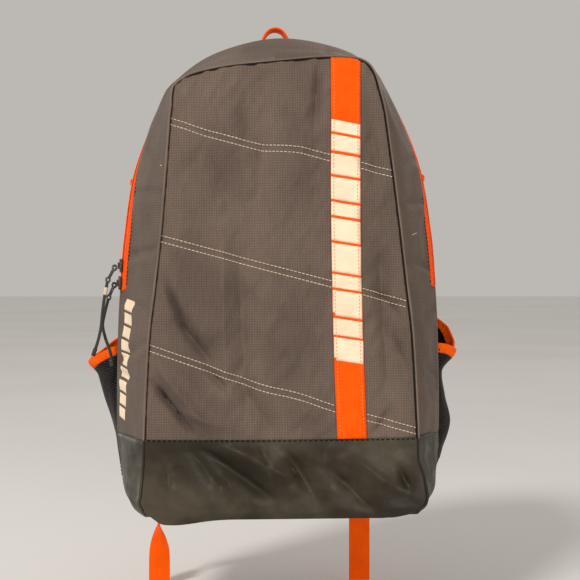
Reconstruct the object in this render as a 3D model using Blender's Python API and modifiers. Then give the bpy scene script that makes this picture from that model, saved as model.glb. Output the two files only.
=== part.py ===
"""Soft backpack hanging from its haul loop: cloth panels, a zipped front flap, straps and trim.

Metres, +Z up, -Y is the front and +Y the wearer's side. Heights are measured from the underside of the
base. The empty named pack lowers them by SEAT_HEIGHT, so the world origin is the seat of the haul loop.
"""

import math

import bmesh
import bpy
from mathutils import Vector

# Driving dimensions
SEAT_HEIGHT = 0.5330
FRONT_Y = -0.178
ZIP_Y = -0.112
BACK_Y = 0.014
CLOTH = 0.0024
GAP = 0.0004

# Half outlines of the bag as (x, height), from the base to the middle of the top: at the front seam,
# at the zip and at the back panel. Rows with the same number hang together across the bag's depth.
OUTLINES = (
    ((0.128, 0.003), (0.149, 0.003), (0.138, 0.003)),
    ((0.1380, 0.022), (0.1630, 0.028), (0.149, 0.026)),
    ((0.1375, 0.082), (0.1695, 0.082), (0.154, 0.082)),
    ((0.1330, 0.181), (0.1690, 0.181), (0.154, 0.181)),
    ((0.1270, 0.236), (0.1665, 0.236), (0.152, 0.236)),
    ((0.1210, 0.291), (0.1620, 0.291), (0.149, 0.291)),
    ((0.1140, 0.360), (0.1500, 0.362), (0.143, 0.365)),
    ((0.1065, 0.420), (0.1220, 0.430), (0.124, 0.432)),
    ((0.0940, 0.450), (0.0980, 0.462), (0.100, 0.464)),
    ((0.0600, 0.4600), (0.0600, 0.4850), (0.062, 0.484)),
    ((0.0, 0.4615), (0.0, 0.4965), (0.0, 0.494)),
)
# Row numbers of the outlines where panels meet
BASE, BOOT_TOP, FOLD_LOW, ZIP_END, FOLD_HIGH, SHOULDER, CORNER, CROWN = 0, 2, 3, 4, 5, 7, 8, 10
SEAM = 0.003  # half the gap between two panels, in rows
LOWEST = 1e-6  # a row at the base that still has a side

# The loaded bag slumps: its left shoulder hangs lower than its right one, most of all at the front
SLUMP = 0.12
SLUMP_FADE = 1.8
FRONT_BULGE = 0.010
FLARE_ROUNDING = 0.25

# The zip: how much of the depth its halves take in front of and behind the closed line, in depth steps
ZIP_FRONT = 0.17
ZIP_REAR = 0.075
ZIP_MEET = (0.992, 1.006)  # inner edges of its two halves
GUSSET_MEET = (0.98, 1.012)  # edges of the front and rear gussets below the zip
TAPE_CLEAR = 0.005
ZIP_FOOT = 0.10  # rows from the zip's end to the lower end of its tapes
TAPE = 0.0014
STRIPE_WIDTH, STRIPE = 0.0300, 0.0010
STRIPE_LOW_X, STRIPE_HIGH_X = 0.0698, 0.0637
PIPING_RADIUS = 0.0017
PIPING_BACK = 0.0007  # how far the piping's middle lies behind the front seam
WEB_WIDTH = 0.025
WEB = 0.0014
HAUL_WIDTH = 0.020
HAUL_WEB = 0.0022

HINGE_HEIGHT = OUTLINES[ZIP_END][1][1]
SLIDER_LENGTH, SLIDER_WIDTH, SLIDER_DEPTH, SLIDER_LUG = 0.0145, 0.0095, 0.0024, 0.0022
SLIDER_HEIGHTS = {"upper": 0.2600, "lower": 0.2415}
SLIDER_RISE = 0.0006  # the slider's underside above the zip's surface
PIN_RISE = 0.0012  # the pull's pin above the slider's lug
PULL_SIDE_STEP = {"upper": -0.0035, "lower": 0.0035}
PULL_TAB = (0.0014, 0.0055, 0.0190)
PULL_LEAN = math.radians(18)
CORD_RADIUS = 0.0018
# Routes of the two pull cords below their tabs, as (x, height)
CORD_ROUTES = {
    "upper": ((-0.1805, 0.2405), (-0.1835, 0.2250), (-0.1856, 0.2090), (-0.1872, 0.1930),
              (-0.1905, 0.1780), (-0.1955, 0.1630)),
    "lower": ((-0.1805, 0.2220), (-0.1840, 0.2080), (-0.1862, 0.1948), (-0.1836, 0.1820),
              (-0.1785, 0.1670), (-0.1760, 0.1510)),
}

POCKET_FRONT_Y, POCKET_REAR_Y, BINDING = -0.094, 0.002, 0.0105
# How far each side pocket stands off the flank, as (height, distance), and its mouth's heights
POCKETS = {
    "left": {
        "bulge": ((0.034, 0.002), (0.060, 0.007), (0.081, 0.011), (0.110, 0.020), (0.141, 0.031),
                  (0.1535, 0.038), (0.190, 0.042)),
        "mouth": (0.174, 0.200, 0.033),
    },
    "right": {
        "bulge": ((0.034, 0.003), (0.049, 0.013), (0.086, 0.025), (0.118, 0.018), (0.143, 0.012),
                  (0.156, 0.022), (0.190, 0.036)),
        "mouth": (0.176, 0.198, 0.021),
    },
}

STIFFENER_INSET, BASE_BOARD, FRAME_SHEET = 0.012, 0.0018, 0.0016
PAD_DEPTH, STRAP_DEPTH, YOKE_DEPTH = 0.0118, 0.012, 0.0028
YOKE_TOP, YOKE_WIDTH, YOKE_HEIGHT = 0.468, 0.160, 0.034
PAD_LOW, PAD_TOP, PAD_X, PAD_WIDTH = 0.085, 0.405, 0.060, 0.104
# Right shoulder strap's middle line as (x, y, height, width)
STRAP_LINE = (
    (0.042, 0.0238, 0.464, 0.062), (0.045, 0.0266, 0.440, 0.064), (0.052, 0.0365, 0.405, 0.066),
    (0.064, 0.0500, 0.350, 0.064), (0.078, 0.0550, 0.290, 0.058), (0.092, 0.0500, 0.225, 0.052),
    (0.101, 0.0445, 0.172, 0.046),
)
LOCK_X, LOCK_Y, LOCK_TOP_BAR, LOCK_MIDDLE_BAR = 0.1035, 0.0455, 0.1475, 0.1320
LOCK_DEPTH = 0.004
TOP_LOOP_RADIUS, MIDDLE_LOOP_RADIUS = 0.0041, 0.0037
TAIL_END = -0.105
TAIL_DRIFT = {"left": -0.0335, "right": 0.0005}
TAIL_TWIST = {"left": math.pi, "right": 0.0}
TWIST_TOP, TWIST_LOW = 0.045, -0.055

# colour, roughness, metallic
FINISHES = {
    "ripstop": ((0.165, 0.140, 0.123), 0.82, 0.0),
    "coated": ((0.028, 0.027, 0.022), 0.45, 0.0),
    "orange_web": ((1.0, 0.105, 0.004), 0.62, 0.0),
    "orange_zip": ((1.0, 0.085, 0.006), 0.50, 0.0),
    "mesh": ((0.012, 0.011, 0.012), 0.80, 0.0),
    "pad_mesh": ((0.030, 0.029, 0.028), 0.90, 0.0),
    "strap_cloth": ((0.055, 0.050, 0.046), 0.85, 0.0),
    "piping": ((0.185, 0.160, 0.140), 0.70, 0.0),
    "gunmetal": ((0.075, 0.072, 0.070), 0.35, 0.9),
    "cord": ((0.028, 0.022, 0.018), 0.70, 0.0),
    "acetal": ((0.015, 0.015, 0.015), 0.38, 0.0),
    "sheet_plastic": ((0.02, 0.02, 0.02), 0.50, 0.0),
}

parts = bpy.data.collections.new("backpack")
pivots = {}


# Curves and surfaces of the bag

def along(points, t):
    """Smooth curve through points; t counts them from 0."""
    last = len(points) - 1
    k = min(max(int(math.floor(t)), 0), last - 1)
    s = t - k
    b, c = Vector(points[k]), Vector(points[k + 1])
    a = Vector(points[k - 1]) if k > 0 else 2 * b - c
    d = Vector(points[k + 2]) if k + 2 <= last else 2 * c - b
    return 0.5 * (2 * b + (c - a) * s + (2 * a - 5 * b + 4 * c - d) * s**2 + (3 * b - a - 3 * c + d) * s**3)


def smoothstep(low, high, value):
    t = min(max((value - low) / (high - low), 0.0), 1.0)
    return t * t * (3 - 2 * t)


def outline_point(edge, row):
    """(x, height) of outline edge (0 front, 1 zip, 2 back) at a row; negative rows are the left side."""
    points = [rows[edge] for rows in OUTLINES]
    points.append((-points[-2][0], points[-2][1]))
    x, height = along(points, abs(row))
    return Vector((math.copysign(x, row), height))


def slumped(x, y, height):
    share = ((BACK_Y - y) / (BACK_Y - FRONT_Y)) ** SLUMP_FADE if y < BACK_Y else 0.0
    lift = SLUMP * share * x * (height / OUTLINES[CROWN][1][1]) ** 2
    return Vector((x, y, height + lift))


def depth_y(step):
    """Depth of a step: 0 at the front seam, 1 at the zip, 2 at the back panel."""
    if step <= 1:
        return FRONT_Y + (ZIP_Y - FRONT_Y) * step
    return ZIP_Y + (BACK_Y - ZIP_Y) * (step - 1)


def depth_step(y):
    if y <= ZIP_Y:
        return (y - FRONT_Y) / (ZIP_Y - FRONT_Y)
    return 1 + (y - ZIP_Y) / (BACK_Y - ZIP_Y)


def skin(row, step):
    """A point of the bag's outer surface between its front seam and its back panel."""
    if step <= 1:
        near, far = outline_point(0, row), outline_point(1, row)
        share = (1 - FLARE_ROUNDING) * step + FLARE_ROUNDING * math.sin(step * math.pi / 2)
    else:
        near, far = outline_point(1, row), outline_point(2, row)
        share = 1 - math.cos((step - 1) * math.pi / 2)
    flat = near.lerp(far, share)
    return slumped(flat.x, depth_y(step), flat.y)


def row_at(height, edge=1):
    """The row at which an outline reaches a height."""
    low, high = 0.0, float(CROWN)
    for _ in range(40):
        middle = (low + high) / 2
        low, high = (middle, high) if outline_point(edge, middle).y < height else (low, middle)
    return low


def over_top(count):
    """Rows counted up the right side, over the crown and down the left side, as a signed row."""
    return count if count <= CROWN else count - 2 * CROWN


def row_count(row):
    """The count that over_top turns into this signed row."""
    return row if row >= 0 else row + 2 * CROWN


def front_face(row, across):
    """A point of the front panel: across is -1 at its left seam and 1 at its right one."""
    side, share = outline_point(0, row), abs(across)
    x, height = share * side.x, side.y
    if row > FOLD_HIGH:
        rise = (row - FOLD_HIGH) / (CORNER - FOLD_HIGH)
        low, corner = outline_point(0, FOLD_HIGH), outline_point(0, CORNER)
        top = outline_point(0, CROWN - (CROWN - CORNER) * share)
        sides = share * (side - low.lerp(corner, rise))
        x = share * low.x * (1 - rise) + top.x * rise + sides.x
        height = low.y * (1 - rise) + top.y * rise + sides.y
    bulge = FRONT_BULGE * (1 - share**2) * math.sin(math.pi * min(row / CORNER, 1.0)) ** 0.5
    return slumped(math.copysign(x, across), FRONT_Y, height) - Vector((0, bulge, 0))


def across_at(row, x):
    """The share across the front panel at which a row reaches x."""
    low, high = 0.0, 1.0
    for _ in range(40):
        middle = (low + high) / 2
        low, high = (middle, high) if front_face(row, middle).x < x else (low, middle)
    return low


# Objects

def clear_scene():
    for old in list(bpy.data.objects):
        bpy.data.objects.remove(old, do_unlink=True)


def add_pivot(name, point, parent=None):
    """An empty on a joint's axis, which the pieces of that body hang from."""
    empty = bpy.data.objects.new(name, None)
    empty.empty_display_size = 0.02
    parts.objects.link(empty)
    origin = pivots[parent]["point"] if parent else Vector((0, 0, SEAT_HEIGHT))
    empty.location = Vector(point) - origin
    if parent:
        empty.parent = pivots[parent]["empty"]
    pivots[name] = {"empty": empty, "point": Vector(point)}


def finish(obj, look, body):
    colour, roughness, metallic = FINISHES[look]
    surface = bpy.data.materials.new(f"{obj.name}_{look}")
    surface.use_nodes = True
    shader = surface.node_tree.nodes["Principled BSDF"]
    shader.inputs["Base Color"].default_value = (*colour, 1.0)
    shader.inputs["Roughness"].default_value = roughness
    shader.inputs["Metallic"].default_value = metallic
    surface.diffuse_color = (*colour, 1.0)
    obj.data.materials.clear()
    obj.data.materials.append(surface)
    obj.parent = pivots[body]["empty"]
    obj.location = obj.location - pivots[body]["point"]
    return obj


def cloth(name, surface, columns, rows, look, outward, body="pack", thickness=CLOTH, side=-1):
    """A curved sheet: surface maps (0..1, 0..1) to a point; side -1 thickens it inward, 0 both ways."""
    bm = bmesh.new()
    bmesh.ops.create_grid(bm, x_segments=columns, y_segments=rows, size=1.0)
    for vert in bm.verts:
        vert.co = surface((vert.co.x + 1) / 2, (vert.co.y + 1) / 2)
    bm.normal_update()
    if sum(face.normal.dot(Vector(outward)) * face.calc_area() for face in bm.faces) < 0:
        bmesh.ops.reverse_faces(bm, faces=bm.faces)
    mesh = bpy.data.meshes.new(name)
    bm.to_mesh(mesh)
    bm.free()
    mesh.shade_smooth()
    obj = bpy.data.objects.new(name, mesh)
    parts.objects.link(obj)
    shell = obj.modifiers.new("thickness", "SOLIDIFY")
    shell.thickness = thickness
    shell.offset = side
    shell.use_even_offset = True
    return finish(obj, look, body)


def plate(name, outlines, thickness, centre, look, body="pack", facing="back"):
    """A flat piece from closed outlines, the later ones cut out: facing back stands it up, base lays it."""
    curve = bpy.data.curves.new(name, "CURVE")
    curve.dimensions = "2D"
    curve.fill_mode = "BOTH"
    curve.extrude = thickness / 2
    for outline in outlines:
        spline = curve.splines.new("POLY")
        spline.points.add(len(outline) - 1)
        for point, (x, y) in zip(spline.points, outline):
            point.co = (x, y, 0.0, 1.0)
        spline.use_cyclic_u = True
    obj = bpy.data.objects.new(name, curve)
    parts.objects.link(obj)
    obj.location = centre
    if facing == "back":
        obj.rotation_euler = (math.pi / 2, 0, 0)
    return finish(obj, look, body)


def tube(name, points, radius, look, body="pack"):
    curve = bpy.data.curves.new(name, "CURVE")
    curve.dimensions = "3D"
    curve.bevel_depth = radius
    curve.bevel_resolution = 2
    curve.use_fill_caps = True
    spline = curve.splines.new("POLY")
    spline.points.add(len(points) - 1)
    for point, place in zip(spline.points, points):
        point.co = (*place, 1.0)
    obj = bpy.data.objects.new(name, curve)
    parts.objects.link(obj)
    return finish(obj, look, body)


def block(name, size, centre, radius, look, body="pack", tilt=0.0):
    """A box with rounded edges, tilted about Y."""
    bm = bmesh.new()
    bmesh.ops.create_cube(bm, size=1.0)
    bmesh.ops.scale(bm, vec=size, verts=bm.verts)
    mesh = bpy.data.meshes.new(name)
    bm.to_mesh(mesh)
    bm.free()
    obj = bpy.data.objects.new(name, mesh)
    parts.objects.link(obj)
    obj.location = centre
    obj.rotation_euler = (0, tilt, 0)
    edges = obj.modifiers.new("rounded edges", "BEVEL")
    edges.width = radius
    edges.segments = 2
    return finish(obj, look, body)


def rounded_rectangle(width, height, radius, steps=3):
    corners = ((1, 1, 0), (-1, 1, 1), (-1, -1, 2), (1, -1, 3))
    outline = []
    for across, up, quarter in corners:
        for step in range(steps + 1):
            angle = (quarter + step / steps) * math.pi / 2
            outline.append((across * (width / 2 - radius) + radius * math.cos(angle),
                            up * (height / 2 - radius) + radius * math.sin(angle)))
    return outline


# Cloth panels

def front_panels():
    spans = (
        ("boot_front", BASE, BOOT_TOP, 3, "coated", "pack"),
        ("front_panel_lower", BOOT_TOP, FOLD_LOW, 2, "ripstop", "pack"),
        ("front_panel_fold", FOLD_LOW, FOLD_HIGH, 4, "ripstop", "pack"),
        ("front_panel_upper", FOLD_HIGH, CORNER, 6, "ripstop", "flap"),
    )
    for name, low, high, rows, look, body in spans:
        bottom = low + (SEAM if low else 0.0)
        top = high - (SEAM if high < CORNER else 0.0)

        def surface(s, t):
            return front_face(bottom + (top - bottom) * t, 2 * s - 1)

        cloth(name, surface, 14, rows, look, (0, -1, 0), body)


def gusset_rear_end(row):
    """Where the front gusset stops: it opens round the zip above the zip's ends."""
    return GUSSET_MEET[0] - ZIP_FRONT * smoothstep(ZIP_END - ZIP_FOOT, ZIP_END, abs(row))


def gusset_rear_start(row):
    return GUSSET_MEET[1] + ZIP_REAR * smoothstep(ZIP_END - ZIP_FOOT, ZIP_END, abs(row))


def band(name, first, last, start, end, columns, rows, look, outward, body="pack", thickness=CLOTH):
    """A panel of the bag's sides or top, between two rows and two depths given as functions of the row."""

    def surface(s, t):
        row = first + (last - first) * s
        return skin(row, start(row) + (end(row) - start(row)) * t)

    return cloth(name, surface, columns, rows, look, outward, body, thickness)


def side_panels():
    front_start = depth_step(FRONT_Y + CLOTH + GAP)
    back_end = depth_step(BACK_Y - CLOTH - GAP)
    for side, sign in (("left", -1), ("right", 1)):
        outward = (sign, 0, 0)
        band(f"boot_side_{side}", sign * LOWEST, sign * (BOOT_TOP - SEAM), lambda row: front_start,
             lambda row: back_end, 4, 8, "coated", outward)
        spans = (("lower", BOOT_TOP, FOLD_LOW, 2, "pack"), ("fold", FOLD_LOW, FOLD_HIGH, 12, "pack"),
                 ("upper", FOLD_HIGH, SHOULDER, 6, "flap"))
        for level, low, high, columns, body in spans:
            band(f"front_gusset_{side}_{level}", sign * (low + SEAM), sign * (high - SEAM),
                 lambda row: front_start, gusset_rear_end, columns, 4, "ripstop", outward, body)
        band(f"rear_gusset_{side}", sign * (BOOT_TOP + SEAM), sign * (SHOULDER - SEAM),
             gusset_rear_start, lambda row: back_end, 20, 4, "ripstop", outward)
    shoulder = SHOULDER + SEAM
    wrap = 2 * (CROWN - shoulder)
    spans = (
        ("front_gusset_top", lambda row: front_start, gusset_rear_end, "flap"),
        ("rear_gusset_top", gusset_rear_start, lambda row: back_end, "pack"),
    )
    for name, start, end, body in spans:

        def surface(s, t):
            row = over_top(shoulder + wrap * s)
            return skin(row, start(row) + (end(row) - start(row)) * t)

        cloth(name, surface, 18, 3, "ripstop", (0, 0, 1), body)


def base_and_stiffeners():
    steps = [index / 6 for index in range(1, 12)]
    right = [(skin(LOWEST, step).x, depth_y(step)) for step in steps]
    right = [(outline_point(0, BASE).x, FRONT_Y), *right, (outline_point(2, BASE).x, BACK_Y)]
    left = [(-x, y) for x, y in reversed(right)]
    thickness = OUTLINES[BASE][0][1] - GAP
    plate("boot_base", [right + left], thickness, (0, 0, thickness / 2), "coated", facing="base")
    front, rear = FRONT_Y + STIFFENER_INSET, BACK_Y - STIFFENER_INSET
    board = [(x - math.copysign(STIFFENER_INSET, x), min(max(y, front), rear)) for x, y in right + left]
    middle = OUTLINES[BASE][0][1] + GAP / 2 + BASE_BOARD / 2
    plate("base_board", [board], BASE_BOARD, (0, 0, middle), "sheet_plastic", facing="base")


def back_outline(inset):
    """The back panel's outline, drawn in by inset."""
    count = 4 * CROWN
    right = [outline_point(2, max(index / 4, LOWEST)) for index in range(count + 1)]
    points = [(p.x, p.y) for p in right] + [(-p.x, p.y) for p in reversed(right[:-1])]
    middle = OUTLINES[CROWN][2][1] / 2
    drawn = []
    for x, height in points:
        reach = Vector((x, height - middle))
        reach = reach * (1 - inset / reach.length)
        drawn.append((reach.x, reach.y + middle))
    return drawn


def back_panel():
    plate("back_panel", [back_outline(0.0)], CLOTH, (0, BACK_Y - CLOTH / 2, 0), "ripstop")
    plate("frame_sheet", [back_outline(STIFFENER_INSET)], FRAME_SHEET,
          (0, BACK_Y - CLOTH - GAP - FRAME_SHEET / 2, 0), "sheet_plastic")
    yoke = rounded_rectangle(YOKE_WIDTH, YOKE_HEIGHT, 0.006)
    plate("yoke_patch", [yoke], YOKE_DEPTH,
          (0, BACK_Y + GAP + YOKE_DEPTH / 2, YOKE_TOP - YOKE_HEIGHT / 2), "coated")
    for side, sign in (("left", -1), ("right", 1)):
        size = (PAD_WIDTH, PAD_DEPTH, PAD_TOP - PAD_LOW)
        centre = (sign * PAD_X, BACK_Y + GAP + PAD_DEPTH / 2, (PAD_LOW + PAD_TOP) / 2)
        block(f"back_pad_{side}", size, centre, 0.005, "pad_mesh")


# Zip, piping and stripe

def zip_halves():
    front = [lambda row: GUSSET_MEET[0] - ZIP_FRONT + TAPE_CLEAR, lambda row: ZIP_MEET[0]]
    rear = [lambda row: ZIP_MEET[1], lambda row: GUSSET_MEET[1] + ZIP_REAR - TAPE_CLEAR]
    spans = (
        ("zip_rear_half", ZIP_END + ZIP_FOOT, rear, "pack", 44),
        ("zip_front_upper", FOLD_HIGH, front, "flap", 36),
    )
    for name, first, (start, end), body, columns in spans:
        low = first + SEAM
        wrap = 2 * (CROWN - low)

        def surface(s, t):
            row = over_top(low + wrap * s)
            return skin(row, start(row) + (end(row) - start(row)) * t)

        cloth(name, surface, columns, 1, "orange_zip", (0, 0, 1), body, TAPE)
    for side, sign in (("left", -1), ("right", 1)):
        band(f"zip_front_fold_{side}", sign * (ZIP_END + ZIP_FOOT), sign * (FOLD_HIGH - SEAM), *front, 5, 1,
             "orange_zip", (sign, 0, 0), "pack", TAPE)


def piping_point(row):
    """Middle of the piping: just outside the front seam, in the corner of panel and gusset."""
    nudge = 1e-3
    here = skin(row, 0.0)
    before, after = skin(over_top(row_count(row) - nudge), 0.0), skin(over_top(row_count(row) + nudge), 0.0)
    tangent = (after - before).normalized()
    outward = Vector((tangent.z, 0, -tangent.x))
    return here + outward * (PIPING_RADIUS + GAP) + Vector((0, PIPING_BACK, 0))


def piping():
    low = FOLD_HIGH + SEAM
    counts = [low + (2 * CROWN - 2 * low) * index / 36 for index in range(37)]
    tube("piping_upper", [piping_point(over_top(count)) for count in counts], PIPING_RADIUS, "piping", "flap")
    first = 0.08
    for side, sign in (("left", -1), ("right", 1)):
        rows = [first + (FOLD_HIGH - SEAM - first) * index / 14 for index in range(15)]
        tube(f"piping_{side}_lower", [piping_point(sign * row) for row in rows], PIPING_RADIUS, "piping")


def stripe():
    low_height, high_height = OUTLINES[BOOT_TOP][0][1], OUTLINES[CORNER][0][1]
    for name, low, high, rows, body in (("stripe_lower", BOOT_TOP, FOLD_HIGH, 7, "pack"),
                                        ("stripe_upper", FOLD_HIGH, CORNER, 7, "flap")):

        def surface(s, t):
            row = low + SEAM + (high - low - 2 * SEAM) * t
            rise = (outline_point(0, row).y - low_height) / (high_height - low_height)
            x = STRIPE_LOW_X + (STRIPE_HIGH_X - STRIPE_LOW_X) * rise + STRIPE_WIDTH * (s - 0.5)
            return front_face(row, across_at(row, x)) - Vector((0, GAP, 0))

        cloth(name, surface, 3, rows, "orange_web", (0, -1, 0), body, STRIPE, side=1)


# Zip sliders and their pulls

def zip_line(height):
    """A point on the closed zip's left run and the direction up it."""
    row = row_at(height)
    here, above = skin(-row, 1.0), skin(-row - 0.02, 1.0)
    return here, (above - here).normalized()


def sliders():
    for level, height in SLIDER_HEIGHTS.items():
        here, up = zip_line(height)
        outward = Vector((-up.z, 0, up.x))
        tilt = math.atan2(up.x, up.z)
        half, lug = SLIDER_LENGTH / 2, SLIDER_LENGTH * 0.26
        profile = [(0, -half), (0, half), (-SLIDER_DEPTH, half), (-SLIDER_DEPTH, lug),
                   (-SLIDER_DEPTH - SLIDER_LUG, lug * 0.7), (-SLIDER_DEPTH - SLIDER_LUG, -lug * 0.7),
                   (-SLIDER_DEPTH, -lug), (-SLIDER_DEPTH, -half)]
        centre = here + outward * SLIDER_RISE
        body = f"slider_{level}_body"
        add_pivot(body, centre, "pack")
        slider = plate(f"slider_{level}", [profile], SLIDER_WIDTH, centre, "gunmetal", body)
        slider.rotation_euler = (math.pi / 2, tilt, 0)
        pull_body = f"pull_{level}_body"
        pin = centre + outward * (SLIDER_DEPTH + SLIDER_LUG + PIN_RISE)
        pin.y = ZIP_Y + PULL_SIDE_STEP[level]
        add_pivot(pull_body, pin, body)
        hang = Vector((-math.sin(PULL_LEAN), 0, -math.cos(PULL_LEAN)))
        block(f"pull_tab_{level}", PULL_TAB, pin + hang * PULL_TAB[2] / 2, 0.0006, "gunmetal", pull_body,
              tilt=PULL_LEAN)
        route = [(x, pin.y, z) for x, z in CORD_ROUTES[level]]
        count = 14
        points = [along(route, (len(route) - 1) * index / count) for index in range(count + 1)]
        tube(f"pull_cord_{level}", points, CORD_RADIUS, "cord", pull_body)


# Pockets, loops and tabs

def pocket_surface(side, sign, low, high):
    """A point of the pocket's sheet; low and high give heights for a share along the pocket's mouth."""
    bulge = POCKETS[side]["bulge"]

    def stand_off(height):
        for index in range(len(bulge) - 1):
            if height <= bulge[index + 1][0] or index == len(bulge) - 2:
                first, second = bulge[index][0], bulge[index + 1][0]
                return along(bulge, index + (height - first) / (second - first)).y

    def surface(s, t):
        height = low(s) + (high(s) - low(s)) * t
        y = POCKET_FRONT_Y + (POCKET_REAR_Y - POCKET_FRONT_Y) * s
        base = skin(sign * row_at(height), depth_step(y))
        return base + Vector((sign * (0.0012 + stand_off(height) * math.sin(math.pi * s) ** 0.8), 0, 0))

    return surface


def side_pockets():
    for side, sign in (("left", -1), ("right", 1)):
        front, rear, dip = POCKETS[side]["mouth"]

        def mouth(s):
            return front + (rear - front) * s - dip * math.sin(math.pi * s)

        floor = POCKETS[side]["bulge"][0][0]
        sheet = pocket_surface(side, sign, lambda s: floor, lambda s: mouth(s) - BINDING)
        cloth(f"side_pocket_{side}", sheet, 10, 9, "mesh", (sign, 0, 0), thickness=0.0012, side=1)
        trim = pocket_surface(side, sign, lambda s: mouth(s) - BINDING + GAP, mouth)
        cloth(f"pocket_binding_{side}", trim, 14, 1, "orange_web", (sign, 0, 0), thickness=0.0018, side=1)


def side_loops():
    for side, sign in (("left", -1), ("right", 1)):
        height, reach = 0.350, 0.0070
        place = skin(sign * row_at(height), 1.16)
        centre = place + Vector((sign * (reach / 2 + 0.0012), 0, 0))
        block(f"side_loop_{side}", (reach, 0.0026, 0.0110), centre, 0.0009, "orange_web")


def haul_loop():
    step = depth_step(0.0)
    lift = Vector((0, 0, HAUL_WEB / 2 + 0.0009))
    foot_out, foot_in = skin(9.30, step) + lift, skin(9.62, step) + lift
    top = SEAT_HEIGHT + HAUL_WEB / 2
    half = [foot_out, foot_out.lerp(foot_in, 0.6), foot_in, foot_in + Vector((-0.0010, 0, 0.0060)),
            Vector((0.0172, 0, 0.5140)), Vector((0.0132, 0, 0.5240)), Vector((0.0075, 0, top - 0.0026))]
    path = half + [Vector((0, 0, top))] + [Vector((-p.x, 0, p.z)) for p in reversed(half)]
    for point in path:
        point.y = 0.0

    def surface(s, t):
        return along(path, (len(path) - 1) * s) + Vector((0, HAUL_WIDTH * (t - 0.5), 0))

    cloth("haul_loop", surface, 36, 1, "orange_web", (0, 0, 1), thickness=HAUL_WEB, side=0)


# Shoulder straps and their webbing

def mirrored(point, sign):
    return Vector((sign * point[0], point[1], point[2]))


def ribbon(name, path, side_at, width, look, body, thickness=WEB):
    """Flat webbing along a path; side_at gives its half-width direction for a share of the path."""

    def surface(s, t):
        return along(path, (len(path) - 1) * s) + side_at(s) * (width * (t - 0.5))

    return cloth(name, surface, 2 * (len(path) - 1), 1, look, (0, 1, 0), body, thickness, side=0)


def straight_side(s):
    return Vector((1, 0, 0))


def arc(y, height, radius, start, end, count):
    """Points round a bar that lies along X, from one angle to another."""
    angles = [math.radians(start + (end - start) * index / count) for index in range(count + 1)]
    return [(LOCK_X, y + radius * math.cos(angle), height + radius * math.sin(angle)) for angle in angles]


def shoulder_straps():
    outer = STRAP_DEPTH / 2 + 4 * GAP + WEB / 2
    for side, sign in (("left", -1), ("right", 1)):
        body = f"strap_{side}_body"
        hinge = Vector((sign * STRAP_LINE[0][0], BACK_Y + GAP + YOKE_DEPTH + 0.0003, STRAP_LINE[0][2]))
        add_pivot(body, hinge, "pack")

        def surface(s, t):
            x, y, height, width = along(STRAP_LINE, (len(STRAP_LINE) - 1) * s)
            return mirrored((x + width * (t - 0.5), y, height), sign)

        cloth(f"shoulder_strap_{side}", surface, 18, 4, "strap_cloth", (0, 1, 0), body, STRAP_DEPTH, side=0)
        laid = [(x, y + outer, height) for x, y, height, _ in STRAP_LINE[4:]]
        start = along(STRAP_LINE, 3.5)
        laid = [(start[0], start[1] + outer, start[2])] + laid
        run = laid + [(LOCK_X, LOCK_Y + TOP_LOOP_RADIUS + 0.0004, LOCK_TOP_BAR + 0.0080)]
        run += arc(LOCK_Y, LOCK_TOP_BAR, TOP_LOOP_RADIUS, 0, -180, 6)
        run += [(LOCK_X, LOCK_Y - TOP_LOOP_RADIUS, LOCK_TOP_BAR + 0.0160)]
        path = [mirrored(point, sign) for point in run]
        ribbon(f"strap_webbing_{side}", path, straight_side, WEB_WIDTH, "orange_web", body)


def ladder_locks():
    low, high = LOCK_MIDDLE_BAR - 0.012, LOCK_TOP_BAR + 0.0025
    middle = (low + high) / 2
    frame = rounded_rectangle(0.034, high - low, 0.003)
    bar = 0.002
    slots = ((LOCK_MIDDLE_BAR + bar, LOCK_TOP_BAR - 0.0025), (LOCK_MIDDLE_BAR - 0.006, LOCK_MIDDLE_BAR - bar))
    holes = []
    for slot_low, slot_high in slots:
        shift = (slot_low + slot_high) / 2 - middle
        hole = rounded_rectangle(0.027, slot_high - slot_low, 0.0012)
        holes.append([(x, y + shift) for x, y in hole])
    for side, sign in (("left", -1), ("right", 1)):
        body = f"lock_{side}_body"
        add_pivot(body, (sign * LOCK_X, LOCK_Y, LOCK_TOP_BAR), f"strap_{side}_body")
        plate(f"ladder_lock_{side}", [frame, *holes], LOCK_DEPTH, (sign * LOCK_X, LOCK_Y, middle), "acetal", body)


def strap_tails():
    for side, sign in (("left", -1), ("right", 1)):
        body = f"tail_{side}_body"
        add_pivot(body, (sign * LOCK_X, LOCK_Y, LOCK_MIDDLE_BAR), f"lock_{side}_body")
        over = [(LOCK_X, LOCK_Y - MIDDLE_LOOP_RADIUS, LOCK_MIDDLE_BAR - 0.0030)]
        over += arc(LOCK_Y, LOCK_MIDDLE_BAR, MIDDLE_LOOP_RADIUS, 180, 0, 6)
        count = 14
        start = LOCK_MIDDLE_BAR - 0.008
        heights = [start + (TAIL_END - start) * index / count for index in range(count + 1)]
        fall = [(sign * LOCK_X + TAIL_DRIFT[side] * smoothstep(start, 0.0, h), LOCK_Y + MIDDLE_LOOP_RADIUS, h)
                for h in heights]
        path = [mirrored(point, sign) for point in over] + [Vector(point) for point in fall]

        def turned(s):
            height = along(path, (len(path) - 1) * s).z
            angle = TAIL_TWIST[side] * smoothstep(TWIST_TOP, TWIST_LOW, height)
            return Vector((math.cos(angle), math.sin(angle), 0))

        ribbon(f"strap_tail_{side}", path, turned, WEB_WIDTH, "orange_web", body)


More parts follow.
